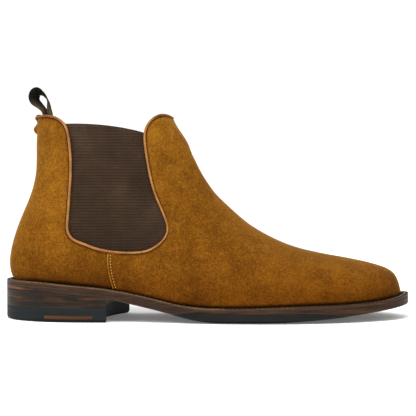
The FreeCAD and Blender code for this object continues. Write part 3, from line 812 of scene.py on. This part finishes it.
def last_piece(name, outline, depths, look, replaces, spread=(-math.pi, math.pi, 400), shape=None,
               uneven=0.0):
    """A layer of the last cut out by an outline in side view. look names its material, and shape changes the
    depths near the edges."""
    s, u = last_grid(*spread)
    middle = foot(s, u, np.zeros(s.shape))
    inside = inside_distance(outline, middle[..., 0], middle[..., 2])
    places, polygons = clip_grid(inside)
    s, u = grid_value(s, places), grid_value(u, places)
    edge = np.maximum(grid_value(inside, places), 0)
    points = foot(s, u, np.zeros(s.shape))
    outer, inner = np.full(s.shape, depths[0]), np.full(s.shape, depths[1])
    if shape:
        outer, inner = shape(points, edge, u, outer, inner)
    if uneven:
        outer = outer + uneven * wobble(points, 0.035, 3) * rise(1, 10, edge)
        outer = outer + 0.3 * uneven * wobble(points, 0.12, 5) * rise(1, 6, edge)
    tuck = -tuck_at(points)[:, None] * flat_normals(s, u)
    vertices, faces = plate(foot(s, u, outer) + tuck, foot(s, u, inner) + tuck, polygons)
    make_piece(name, (vertices, faces), LOOKS[look], replaces)


def tuck_at(points):
    """How far the upper is drawn in just above the welt."""
    above_welt = points[:, 2] - height_on(SEAT_LINE, points[:, 0])
    return TUCK * rise(2.8, -0.4, above_welt) ** 1.6


def vamp_shape(points, edge, u, outer, inner):
    """The vamp laps over the quarters at the side seams, and dips at the piping."""
    x, z = points[:, 0], points[:, 2]
    seam_x = np.interp(z, SEAM[::-1, 1], SEAM[::-1, 0])
    below = rise(56, 51, z)
    lap = rise(9, 3, x - seam_x) * below
    outer = outer - SEAM_LAP * lap
    at_piping = rise(2.6, 0.0, edge) * (1 - below * rise(-64, -70, x))
    outer = outer + EDGE_DIP * at_piping * rise(20, 30, z) * rise(0.0, 0.7, np.abs(u))
    return outer, inner


def quarter_shape(points, edge, u, outer, inner):
    """The quarters go under the vamp, and dip at the piping and where they meet at the back."""
    x, z = points[:, 0], points[:, 2]
    seam_x = np.interp(z, SEAM[::-1, 1], SEAM[::-1, 0])
    under = rise(56, 51, z) * rise(-2.0, 0.5, x - seam_x)
    at_piping = rise(2.6, 0.0, edge) * (1 - rise(56, 51, z) * rise(-80, -75, x)) * rise(34, 44, z)
    outer = outer + EDGE_DIP * at_piping * rise(0.0, 0.5, math.pi - np.abs(u)) + 0.5 * under
    from_seam = (math.pi - np.abs(u)) * 22
    outer = outer + 0.25 + 0.55 * rise(1.6, 0.0, from_seam)
    return outer, inner


def lining_shape(points, edge, u, outer, inner):
    """The lining comes up to the back of the leather along the top of the collar."""
    near = rise(145.5, 149.0, points[:, 2])
    return outer - 1.25 * near, inner - 1.25 * near


def make_leather():
    step = 0.6 * PIPING_RADIUS
    vamp = front_outline(step)
    last_piece("vamp_suede", vamp, (0.0, LEATHER), "suede", ("vamp",), shape=vamp_shape, uneven=0.22)
    for name, side in SIDES:
        spread = (0.0, math.pi, 200) if side < 0 else (-math.pi, 0.0, 200)
        quarter = back_outline(BACK_LINES[name], step, 0.3)
        last_piece(f"quarter_suede_{name}", quarter, (0.0, LEATHER), "suede", (f"quarter_{name}",),
                   spread=spread, shape=quarter_shape, uneven=0.22)
        last_piece(f"quarter_lining_leather_{name}", quarter, LINING, "lining", (f"quarter_lining_{name}",),
                   spread=spread, shape=lining_shape)
    last_piece("vamp_lining_leather", vamp, LINING, "lining", ("vamp_lining",), shape=lining_shape)


def make_stiffeners():
    """Boards in the toe and heel and the cloth between them, drawn in above the welt with the leather."""
    toe = np.concatenate([seat_run(84, 159), [(170, 70), (78, 70)]])
    heel = np.concatenate([[(-112, 62), (-96, 44), (-70, 37), (-54, 28)], seat_run(-159, -52)[::-1],
                           [(-160, 74), (-122, 73)]])
    middle = np.concatenate([seat_run(-14, 77), [(70, 120), (-12, 120)]])
    for name, outline, depths, look in (("toe_puff", toe, ELASTIC, "stiffener"),
                                        ("heel_counter", heel, ELASTIC, "stiffener"),
                                        ("vamp_interlining", middle, INTERLINING, "interlining")):
        last_piece(f"{name}_board", outline, depths, look, (name,), spread=(-math.pi, math.pi, 160))


def elastic_outline(line):
    back = shifted(line, 3.0)
    back = back[(back[:, 1] < 144.4) & (back[:, 0] < -74)]
    front = shifted(FRONT_LINE, 3.0)
    front = front[(front[:, 0] > -72.5) & (front[:, 1] < 139)]
    front = front[:np.argmax(front[:, 1]) + 1]
    top = TOP_LINE[(TOP_LINE[:, 0] > back[0, 0] + 0.5) & (TOP_LINE[:, 0] < front[-1, 0] - 0.5)]
    return np.concatenate([back, front, top[::-1]])


def make_elastic():
    """The gussets, whose ribs run level."""
    for name, side in SIDES:
        outline = elastic_outline(BACK_LINES[name])
        low, high = outline.min(0) - 1, outline.max(0) + 1
        first = math.floor(low[1] / RIB_PITCH) * RIB_PITCH
        levels = np.arange(first, high[1], RIB_PITCH / 4)
        x, z = np.meshgrid(np.arange(low[0], high[0], 1.3), levels, indexing="ij")
        inside = inside_distance(outline, x, z)
        places, polygons = clip_grid(inside)
        x, z = grid_value(x, places), grid_value(z, places)
        rib = RIB_HEIGHT / 2 * np.cos(2 * math.pi * z / RIB_PITCH)
        turned = polygons if side > 0 else [p[::-1] for p in polygons]
        edge = rise(0.0, 2.0, np.maximum(grid_value(inside, places), 0))
        outer = lift(x, z, side, ELASTIC[0] - rib * edge)
        inner = lift(x, z, side, ELASTIC[1] + rib * edge)
        make_piece(f"elastic_{name}", plate(outer, inner, turned), LOOKS["elastic"],
                   (f"elastic_gusset_{name}",), sharp=70)


def collar_curve(lines, depth, column):
    """The 3-D line over both sides of the boot that a pair of side-view lines stands for. column is 0 for a
    line that crosses the ridge and 2 for one that crosses the back."""
    halves = []
    for side, line in zip((-1, 1), lines):
        turning = side_lines(np.linspace(12, LAST_S, 3000), depth)[column // 2]
        gaps = np.linalg.norm(line[:, None] - turning[None], axis=2)
        end = int(np.argmin(gaps.min(1)))
        half = np.concatenate([line[:end], turning[None, np.argmin(gaps[end])]])
        along = distances_along(half)
        at = along[-1] * (1 - (1 - np.linspace(0, 1, 1500)) ** 3)
        half = np.stack([np.interp(at, along, half[:, k]) for k in (0, 1)], axis=1)
        halves.append(lift(half[:, 0], half[:, 1], side, depth))
    middle = (halves[0][-1:] + halves[1][-1:]) / 2
    return resampled(np.concatenate([halves[0][:-1], middle, halves[1][-2::-1]]), 0.8)


def smoothed(line, times):
    for _ in range(times):
        line = np.concatenate([line[:1], (line[:-2] + 2 * line[1:-1] + line[2:]) / 4, line[-1:]])
    return line


def make_piping():
    front = smoothed(collar_curve((FRONT_LINE, FRONT_LINE), -0.05, 0), 10)
    back = smoothed(collar_curve([line[::-1] for line in BACK_LINES.values()], -0.15, 2), 6)
    thinner = FRONT_PIPING_RADIUS - 0.1 * rise(-36, -29, front[:, 0])
    make_piece("vamp_piping_roll", tube(front, thinner, 12), LOOKS["piping"], ("vamp_piping",))
    thinner = PIPING_RADIUS - 0.1 * rise(144, 149, back[:, 2])
    make_piece("quarter_piping_roll", tube(back, thinner, 12), LOOKS["piping"],
               ("quarter_piping",))


def stitch_row(line, normals, pitch, length, radius, sink=0.1):
    """Short raised stitches laid along a line on the leather, as one vertex and face list."""
    spots = resampled(np.concatenate([line, normals], axis=1), pitch)
    middles, outs = (spots[:-1, :3] + spots[1:, :3]) / 2, (spots[:-1, 3:] + spots[1:, 3:]) / 2
    runs = spots[1:, :3] - spots[:-1, :3]
    parts = []
    for middle, out, run in zip(middles, outs, runs):
        out = out / np.linalg.norm(out)
        run = run / np.linalg.norm(run)
        t = np.linspace(-1, 1, 6)
        height = (1 - t**4) * radius - sink - radius * 0.6
        arc = middle + np.outer(t * length / 2, run) + np.outer(height, out)
        parts.append(tube(arc, radius * np.array([0.35, 0.85, 1, 1, 0.85, 0.35]), 6))
    return joined(parts)


def line_on_side(line, side, depth=0.0):
    points = lift(line[:, 0], line[:, 1], side, depth)
    return points, surface_normals(points, side)


def make_edge_stitches():
    """A row of stitches beside each piping."""
    rows = []
    for name, side in SIDES:
        for line, radius, x_low, x_high in ((FRONT_LINE, FRONT_PIPING_RADIUS, -80, -30.5),
                                            (BACK_LINES[name], PIPING_RADIUS, -124.5, -70)):
            beside = shifted(line, radius + 0.55)
            beside = beside[(beside[:, 0] > x_low) & (beside[:, 0] < x_high)]
            points, normals = line_on_side(beside, side, 0.45)
            rows.append(stitch_row(points, normals, 2.0, 1.6, THREAD_RADIUS))
    make_piece("edge_stitching", joined(rows), LOOKS["dark_thread_and_shadow"], sharp=60)


def make_side_seams():
    """The cut edge of the vamp at each side seam as a bead of paler suede, partly its own colour and partly a
    painted highlight; beside it a dark tube of painted shadow for the stitch channel, and stitches along it.
    """
    seam = SEAM[(SEAM[:, 1] < 50.5) & (SEAM[:, 1] > height_on(SEAT_LINE, SEAM[-1, 0]) + 0.5)]
    edges, channel_shadows, rows = [], [], []
    for _, side in SIDES:
        edge, _ = line_on_side(seam + (0.3, 0), side, -0.75)
        edges.append(tube(resampled(edge, 1.0), 0.45, 8))
        # A dark tube here is painted shadow, standing for the shade in the stitch channel.
        channel, _ = line_on_side(seam + (2.3, 0), side, -0.80)
        channel_shadows.append(tube(resampled(channel, 1.0), 0.42, 8))
        points, normals = line_on_side(seam + (2.3, 0), side, -1.12)
        rows.append(stitch_row(points, normals, 2.1, 1.15, THREAD_RADIUS))
    # The cut edge bead gets paler suede: its own colour plus a painted highlight.
    make_piece("side_seam_edge", joined(edges), LOOKS["suede_cut_edge_highlight"], sharp=60)
    make_piece("side_seam_channel_shadow", joined(channel_shadows), LOOKS["dark_thread_and_shadow"], sharp=60)
    make_piece("side_seam_stitching", joined(rows), LOOKS["light_thread"], sharp=60)


# ---- the bottom ----
SOLE_LINE = curve_through(SOLE_OUTLINE, 1.8, closed=True)[:-1]


def sole_spine():
    """For each point of the sole's outline, the point of the middle line that it is joined to."""
    x = np.clip(SOLE_LINE[:, 0], -118, 104)
    lateral, medial = SOLE_LINE[SOLE_LINE[:, 1] < 1.5], SOLE_LINE[SOLE_LINE[:, 1] >= 1.5]
    lateral, medial = lateral[np.argsort(lateral[:, 0])], medial[np.argsort(medial[:, 0])]
    y = (np.interp(x, lateral[:, 0], lateral[:, 1]) + np.interp(x, medial[:, 0], medial[:, 1])) / 2
    return np.stack([x, y], axis=1)


SOLE_SPINE = sole_spine()


def inset_ring(outline, spine, inset):
    toward = spine - outline
    reach = np.linalg.norm(toward, axis=1, keepdims=True)
    return outline + toward * np.minimum(inset / reach, 1)


def ringed(outline, spine, rings, looped=False):
    """Solid of rings, each an inset from the outline and a function of x and inset that gives its height."""
    vertices = []
    for inset, height in rings:
        plan = inset_ring(outline, spine, inset)
        depth = np.minimum(inset, np.linalg.norm(spine - outline, axis=1))
        vertices.append(np.column_stack([plan, height(plan[:, 0], depth)]))
    return np.concatenate(vertices), ring_faces(len(rings), len(outline), looped)


# Insets of the rings of a face that reaches to its spine, which FAR is sure to be past.
FAR = 200.0
INNER_RINGS = (FAR, 40.0, 30.0, 22.0, 16.0, 11.0, 7.0, 4.0, 2.2, 1.2)


def over_seat(lift_by):
    return lambda x, inset: height_on(SEAT_LINE, x) + lift_by


def under_sole(lift_by=0.0):
    """Underside of the sole, which rises a little towards its edge."""
    def height(x, inset):
        share = (1 - np.clip(inset / 9, 0, 1)) ** 2
        ground, edge = height_on(GROUND_LINE, x), height_on(SOLE_EDGE_LINE, x)
        return np.maximum(ground + (edge - ground) * share, 0.0) + lift_by
    return height


def sole_low(lift_by=0.0):
    """Underside of the leather, which stops at the top of the rubber forepart."""
    under = under_sole(lift_by)
    return lambda x, inset: np.maximum(under(x, inset), height_on(TREAD_TOP, x) + lift_by
                                       - 60 * (1 - rise(-32, -30, x) * rise(110, 108, x)))


def make_welt():
    """The welt, whose section has a groove for its stitches and rounded outer corners."""
    section = [(9.0, 0), (7.0, 0), (5.0, 0), (3.3, 0), (2.9, -0.3), (1.9, -0.3), (1.5, 0), (0.8, -0.02),
               (0.35, -0.15), (0.08, -0.5), (0.0, -1.0), (0.0, -1.9), (0.1, 0.15 - WELT_THICKNESS),
               (0.35, -WELT_THICKNESS), (4.0, -WELT_THICKNESS), (9.0, -WELT_THICKNESS)]
    section = [(inset, over_seat(height)) for inset, height in section]
    welt = make_piece("welt_leather", ringed(SOLE_LINE, SOLE_SPINE, section, looped=True), LOOKS["welt"],
                      ("welt",))
    # Upward-facing faces of the welt's edge behind x = 12 mm get a lighter painted highlight.
    paint(welt, LOOKS["welt_edge_highlight"], lambda place, out: 0.3 < out.z and place.x < 12)
    # The welt's top faces get near-black painted shade for the crease under the upper.
    paint(welt, LOOKS["welt_top_crease_shade"], lambda place, out: 0.93 < out.z)


def make_outsole():
    upper = [(r, over_seat(-WELT_THICKNESS)) for r in INNER_RINGS]
    side = [(0.4, over_seat(-2.42)), (0.12, over_seat(-2.55)), (0.0, over_seat(-2.9)), (0.0, over_seat(-3.4)),
            (0.0, lambda x, inset: np.minimum(sole_low(2.3)(x, inset), over_seat(-3.5)(x, inset)))]
    lower_side = [(0.0, sole_low(0.8)), (0.05, sole_low(0.4)), (0.35, sole_low(0.08))]
    lower = [(r, sole_low()) for r in INNER_RINGS[::-1]]
    sole = make_piece("outsole_leather", ringed(SOLE_LINE, SOLE_SPINE, upper + side + lower_side + lower),
                      LOOKS["edge"], ("outsole",))
    paint(sole, LOOKS["sole_under"], lambda place, out: out.z < -0.6)
    paint(sole, LOOKS["raw_edge"], lambda place, out: -0.6 <= out.z and place.x < -12
          and place.z < height_on(SOLE_EDGE_LINE, place.x) + 2.2)


def make_tread():
    """Rubber forepart: the part of the sole below its top line, thinning to nothing at both ends."""
    insets = (0.0, 0.05, 0.3, 0.9, 2.0, 3.5, 5.5, 8.0, 11.0, 15.0, 20.0, 27.0, 35.0, FAR)
    plans = np.stack([inset_ring(SOLE_LINE, SOLE_SPINE, r) for r in insets], axis=1)
    plans = np.concatenate([plans, plans[:1]])
    reach = np.linalg.norm(SOLE_SPINE - SOLE_LINE, axis=1)
    depth = np.minimum(np.array(insets)[None], reach[:, None])
    depth = np.concatenate([depth, depth[:1]])
    x = plans[..., 0]
    corner = np.array([0.8, 0.4, 0.08] + [0.0] * (len(insets) - 3))
    low = under_sole()(x, depth) + corner
    high = height_on(TREAD_TOP, x) - 0.05 - np.array([0.25, 0.05] + [0.0] * (len(insets) - 2))
    inside = np.where((x > -32) & (x < 112), high - low, -1.0)
    places, polygons = clip_grid(inside)
    px, py = grid_value(x, places), grid_value(plans[..., 1], places)
    top = np.column_stack([px, py, grid_value(high, places)])
    bottom = np.column_stack([px, py, np.minimum(grid_value(low, places), grid_value(high, places))])
    last = len(insets) - 1

    def on_join(a, b):
        same_end = all(places[v][0] in (0, len(SOLE_LINE)) for v in (a, b))
        return same_end or all(places[v][1] > last - 1e-6 for v in (a, b))

    make_piece("forepart_rubber", plate(top, bottom, polygons, on_join), LOOKS["rubber"],
               ("forepart_tread",))


def heel_outline():
    """Closed outline of the heel: the back of the sole, then the curved breast."""
    a, b, c = (np.array(p) for p in BREAST_ARC)
    matrix = 2 * np.array([b - a, c - a])
    centre = np.linalg.solve(matrix, [b.dot(b) - a.dot(a), c.dot(c) - a.dot(a)])
    radius = np.linalg.norm(a - centre)

    def breast_x(y):
        return centre[0] - np.sqrt(radius**2 - (y - centre[1]) ** 2) * np.sign(centre[0] - b[0])

    behind = SOLE_LINE[:, 0] < breast_x(SOLE_LINE[:, 1])
    start = int(np.nonzero(behind & ~np.roll(behind, 1))[0][0])
    ring = np.roll(SOLE_LINE, -start, axis=0)
    ring = ring[:int(behind.sum())]
    y = np.linspace(ring[-1, 1], ring[0, 1], 36)
    arc = np.stack([breast_x(y), y], axis=1)
    ring = np.concatenate([ring, arc])
    return resampled(np.concatenate([ring, ring[:1]]), 1.5)[:-1]


def heel_spine(outline):
    return np.stack([np.clip(outline[:, 0], -122, -96), np.full(len(outline), -3.0)], axis=1)


def make_heel():
    """The lifts of the heel, each a little rounded at its corners so that the joints show."""
    outline = heel_outline()
    spine = heel_spine(outline)
    tops = (None, *HEEL_LEVELS)
    bottoms = (*HEEL_LEVELS, 0.0)
    names = ("heel_lift_1", "heel_lift_2", "heel_lift_3", "heel_top_lift")
    looks = ("heel", "heel", "lift_rubber", "lift_rubber")
    slots = ("heel", "heel", "heel", "top_lift")
    for name, top, bottom, look, slot in zip(names, tops, bottoms, looks, slots):
        def upper(drop, top=top):
            if top is None:
                return lambda x, inset: height_on(GROUND_LINE, x) - drop
            return lambda x, inset: np.full(x.shape, top - drop)

        def lower(up, bottom=bottom):
            return lambda x, inset: np.full(x.shape, bottom + up)

        rings = [(r, upper(0.0)) for r in (FAR, 20.0, 8.0, 2.0)]
        rings += [(0.12, upper(0.0)), (0.03, upper(0.03)), (0.0, upper(0.12))]
        if bottom > 0:
            rings += [(0.0, lower(0.12)), (0.03, lower(0.03)), (0.12, lower(0.0))]
        else:
            rounding = ((0.0, 1.9), (0.15, 1.4), (0.7, 0.7), (1.7, 0.2), (3.0, 0.0))
            rings += [(inset, lower(up)) for inset, up in rounding]
        rings += [(r, lower(0.0)) for r in (4.0, 10.0, 20.0, FAR)]
        make_piece(f"{name}_built", ringed(outline, spine, rings), LOOKS[look], (name,))


def make_welt_stitches():
    """Stitches on top of the welt, wherever the upper leaves room for them."""
    plan = inset_ring(SOLE_LINE, SOLE_SPINE, 2.4)
    plan = np.concatenate([plan, plan[:1]])
    line = np.column_stack([plan, height_on(SEAT_LINE, plan[:, 0]) - 0.2])
    x, y, z = resampled(line, 0.5).T
    room = (y < lift(x, z + 1, -1, -0.3)[:, 1]) | (y > lift(x, z + 1, 1, -0.3)[:, 1]) | (x > SECTIONS[0, 0])
    line = np.stack([x, y, z], axis=1)
    ends = np.nonzero(np.diff(room.astype(int)))[0] + 1
    rows = []
    for part, free in zip(np.split(line, ends), (room[0], *room[ends])):
        if free and len(part) > 10:
            rows.append(stitch_row(part, np.tile([0.0, 0.0, 1.0], (len(part), 1)), 3.6, 2.9, THREAD_RADIUS,
                                   sink=0.28))
    make_piece("welt_stitches", joined(rows), LOOKS["welt_thread"], ("welt_stitching",), sharp=60)


def make_inlay():
    """A strip of leather let into each side of the top lift, standing out a little."""
    outline = heel_outline()
    toward = unit(heel_spine(outline) - outline)
    section = ((2.0, 2.7), (0.0, 2.7), (-0.06, 3.0), (-0.06, 4.7), (0.0, 5.0), (2.0, 5.0))
    parts = []
    for _, side in SIDES:
        keep = (outline[:, 1] * side > 0) & (outline[:, 0] > -120) & (outline[:, 0] < -83)
        rows = np.stack([np.column_stack([(outline + toward * inset)[keep], np.full(keep.sum(), z)])
                         for inset, z in section], axis=1)
        parts.append((rows.reshape(-1, 3), capped_faces(len(rows), len(section))))
    make_piece("top_lift_inlay_strips", joined(parts), LOOKS["inlay"], ("top_lift_inlay",))


# ---- collar details ----
def ribbon(line, across):
    """Vertices and faces of the webbing along a line. across gives the direction of its width."""
    run = unit(np.gradient(line, axis=0))
    across = unit(across - run * (across * run).sum(1, keepdims=True))
    out = np.cross(across, run)
    places = np.linspace(-1, 1, 15)
    top = [(a * TAB_WIDTH / 2, TAB_THICKNESS / 2 * (1 if abs(a) < 0.99 else 0.5)) for a in places]
    ring = top + [(a, -b) for a, b in top[::-1]]
    vertices = np.concatenate([[p + a * w + b * o for a, b in ring] for p, w, o in zip(line, across, out)])
    return vertices, capped_faces(len(line), len(ring))


# Middle of the pull tab's webbing in side view, up from its front end, and its twist in radians.
TAB_PATH = [
    (-118.2, 146.5, -0.15), (-118.2, 149.5, -0.15), (-118.4, 152.6, -0.15), (-119.0, 155.9, -0.11),
    (-119.4, 159.1, -0.05), (-119.8, 162.0, 0.03), (-121.7, 165.8, 0.13), (-124.7, 168.6, 0.25),
    (-127.7, 169.4, 0.45), (-130.4, 165.75, 0.48), (-129.2, 161.7, 0.40), (-126.9, 159.6, 0.31),
    (-124.6, 157.4, 0.24), (-122.6, 154.8, 0.20), (-121.9, 152.4, 0.18), (-121.7, 149.5, 0.16),
    (-121.6, 146.5, 0.16),
]


def make_pull_tab():
    line = curve_through(TAB_PATH, 0.5)
    path = np.column_stack([line[:, 0], np.zeros(len(line)), line[:, 1]])
    run = unit(np.gradient(line[:, :2], axis=0))
    twist = line[:, 2]
    across = np.column_stack([np.sin(twist) * run[:, 1], -np.cos(twist), -np.sin(twist) * run[:, 0]])
    tab = make_piece("pull_tab_webbing", ribbon(path, across), LOOKS["webbing"],
                     ("pull_tab_loop",), body=None, sharp=60)
    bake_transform(tab)


# Outer face of the strip over the top of the back seam, in side view, downwards.
STAY_PATH = [
    (-125.6, 151.6), (-126.6, 152.3), (-128.0, 152.1), (-129.1, 151.1), (-129.6, 149.6), (-128.9, 148.0),
    (-127.9, 146.7), (-128.2, 145.4), (-129.5, 143.6), (-130.7, 141.6), (-130.4, 139.9), (-129.0, 138.0),
]


def make_back_stay():
    line = curve_through(STAY_PATH, 0.4)
    y = np.linspace(-1, 1, 15)
    x = np.repeat(line[:, :1], len(y), axis=1)
    z = np.repeat(line[:, 1:], len(y), axis=1)
    y = np.repeat(y[None], len(line), axis=0)
    bend = (5.5 * y) ** 2 / 48
    soft = 0.5 * np.abs(y) ** 6
    back = np.interp(z, (138, 144, 152), (-128.3, -127.9, -127.4))
    outer = np.stack([np.minimum(x + bend + soft, back + bend - 0.35), 5.5 * y, z - 0.2 * y**2], axis=-1)
    inner = np.stack([np.maximum(back + bend + 0.6, x + bend + 0.4), 5.5 * y, z - 0.2 * y**2], axis=-1)
    rows, columns = y.shape
    corners = [(i, j) for i in range(rows - 1) for j in range(columns - 1)]
    polygons = [[i * columns + j, (i + 1) * columns + j, (i + 1) * columns + j + 1, i * columns + j + 1]
                for i, j in corners]
    shape = plate(outer.reshape(-1, 3), inner.reshape(-1, 3), polygons)
    make_piece("back_stay_strip", shape, LOOKS["stay"], ("back_stay",))


# ---- CAD nodes that stay as they are ----
KEPT = {
    "shank": "steel", "cork_filler": "cork", "insole": "insole", "sock_liner": "sock",
    "heel_nails": "steel", "top_lift_nails": "brass", "pull_tab_anchor": "webbing",
}


def dress_kept_nodes():
    for name, look in KEPT.items():
        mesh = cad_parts[name].data
        mesh.materials.clear()
        mesh.materials.append(LOOKS[look])


# ---- studio ----
def make_world():
    """White behind the boot, bright overhead and dimmer in front."""
    world = bpy.data.worlds.new("studio")
    world.use_nodes = True
    nodes, links = world.node_tree.nodes, world.node_tree.links
    split = nodes.new("ShaderNodeSeparateXYZ")
    links.new(nodes.new("ShaderNodeTexCoord").outputs["Generated"], split.inputs[0])
    shares = []
    for axis, low, high in (("Y", 0.55, 0.8), ("Z", -0.1, 0.9)):
        ramp = nodes.new("ShaderNodeMapRange")
        ramp.inputs["From Min"].default_value = low
        ramp.inputs["From Max"].default_value = high
        ramp.inputs["To Min"].default_value = WORLD_FRONT
        ramp.inputs["To Max"].default_value = WORLD_BACK
        links.new(split.outputs[axis], ramp.inputs["Value"])
        shares.append(ramp.outputs[0])
    larger = nodes.new("ShaderNodeMath")
    larger.operation = "MAXIMUM"
    links.new(shares[0], larger.inputs[0])
    links.new(shares[1], larger.inputs[1])
    links.new(larger.outputs[0], nodes["Background"].inputs["Strength"])
    nodes["Background"].inputs["Color"].default_value = (1, 1, 1, 1)
    return world


def make_studio():
    scene = bpy.context.scene
    scene.view_settings.view_transform = "Standard"
    scene.world = make_world()

    mesh = bpy.data.meshes.new("floor")
    mesh.from_pydata([(-2.5, -2.5, 0), (2.5, -2.5, 0), (2.5, 0.7, 0), (-2.5, 0.7, 0)], [], [(0, 1, 2, 3)])
    floor = bpy.data.objects.new("floor", mesh)
    scene.collection.objects.link(floor)
    look = Look("floor_white", 0.9, Specular_IOR_Level=0.1, Emission_Color=(1, 1, 1, 1),
                Emission_Strength=0.12)
    look.base(look.ramp(look.noise(3, 2.0), (0.3, 0.93), (0.7, 0.95)))
    mesh.materials.append(look.material)

    def area(name, place, target, size, power):
        light = bpy.data.lights.new(name, "AREA")
        light.shape = "DISK"
        light.size = size
        light.energy = power
        lamp = bpy.data.objects.new(name, light)
        lamp.location = place
        lamp.rotation_euler = (Vector(target) - Vector(place)).to_track_quat("-Z", "Y").to_euler()
        scene.collection.objects.link(lamp)

    area("overhead", (-0.1, -0.7, 1.35), (0, 0, 0.05), 1.1, 22)
    area("key", (-1.1, -0.9, 0.9), (0, 0, 0.06), 0.7, 7)

    lens = bpy.data.cameras.new("camera")
    lens.sensor_width = 36.0
    lens.lens = 132.4
    lens.clip_start = 0.05
    camera = bpy.data.objects.new("camera", lens)
    camera.location = (0.0, -1.15, 0.130)
    aim = Vector((0.0, 0.0, 0.0822))
    camera.rotation_euler = (aim - camera.location).to_track_quat("-Z", "Y").to_euler()
    scene.collection.objects.link(camera)
    scene.camera = camera


make_studio()
make_leather()
make_stiffeners()
make_elastic()
make_piping()
make_edge_stitches()
make_side_seams()
make_welt()
make_outsole()
make_tread()
make_heel()
make_inlay()
make_welt_stitches()
make_pull_tab()
make_back_stay()
dress_kept_nodes()
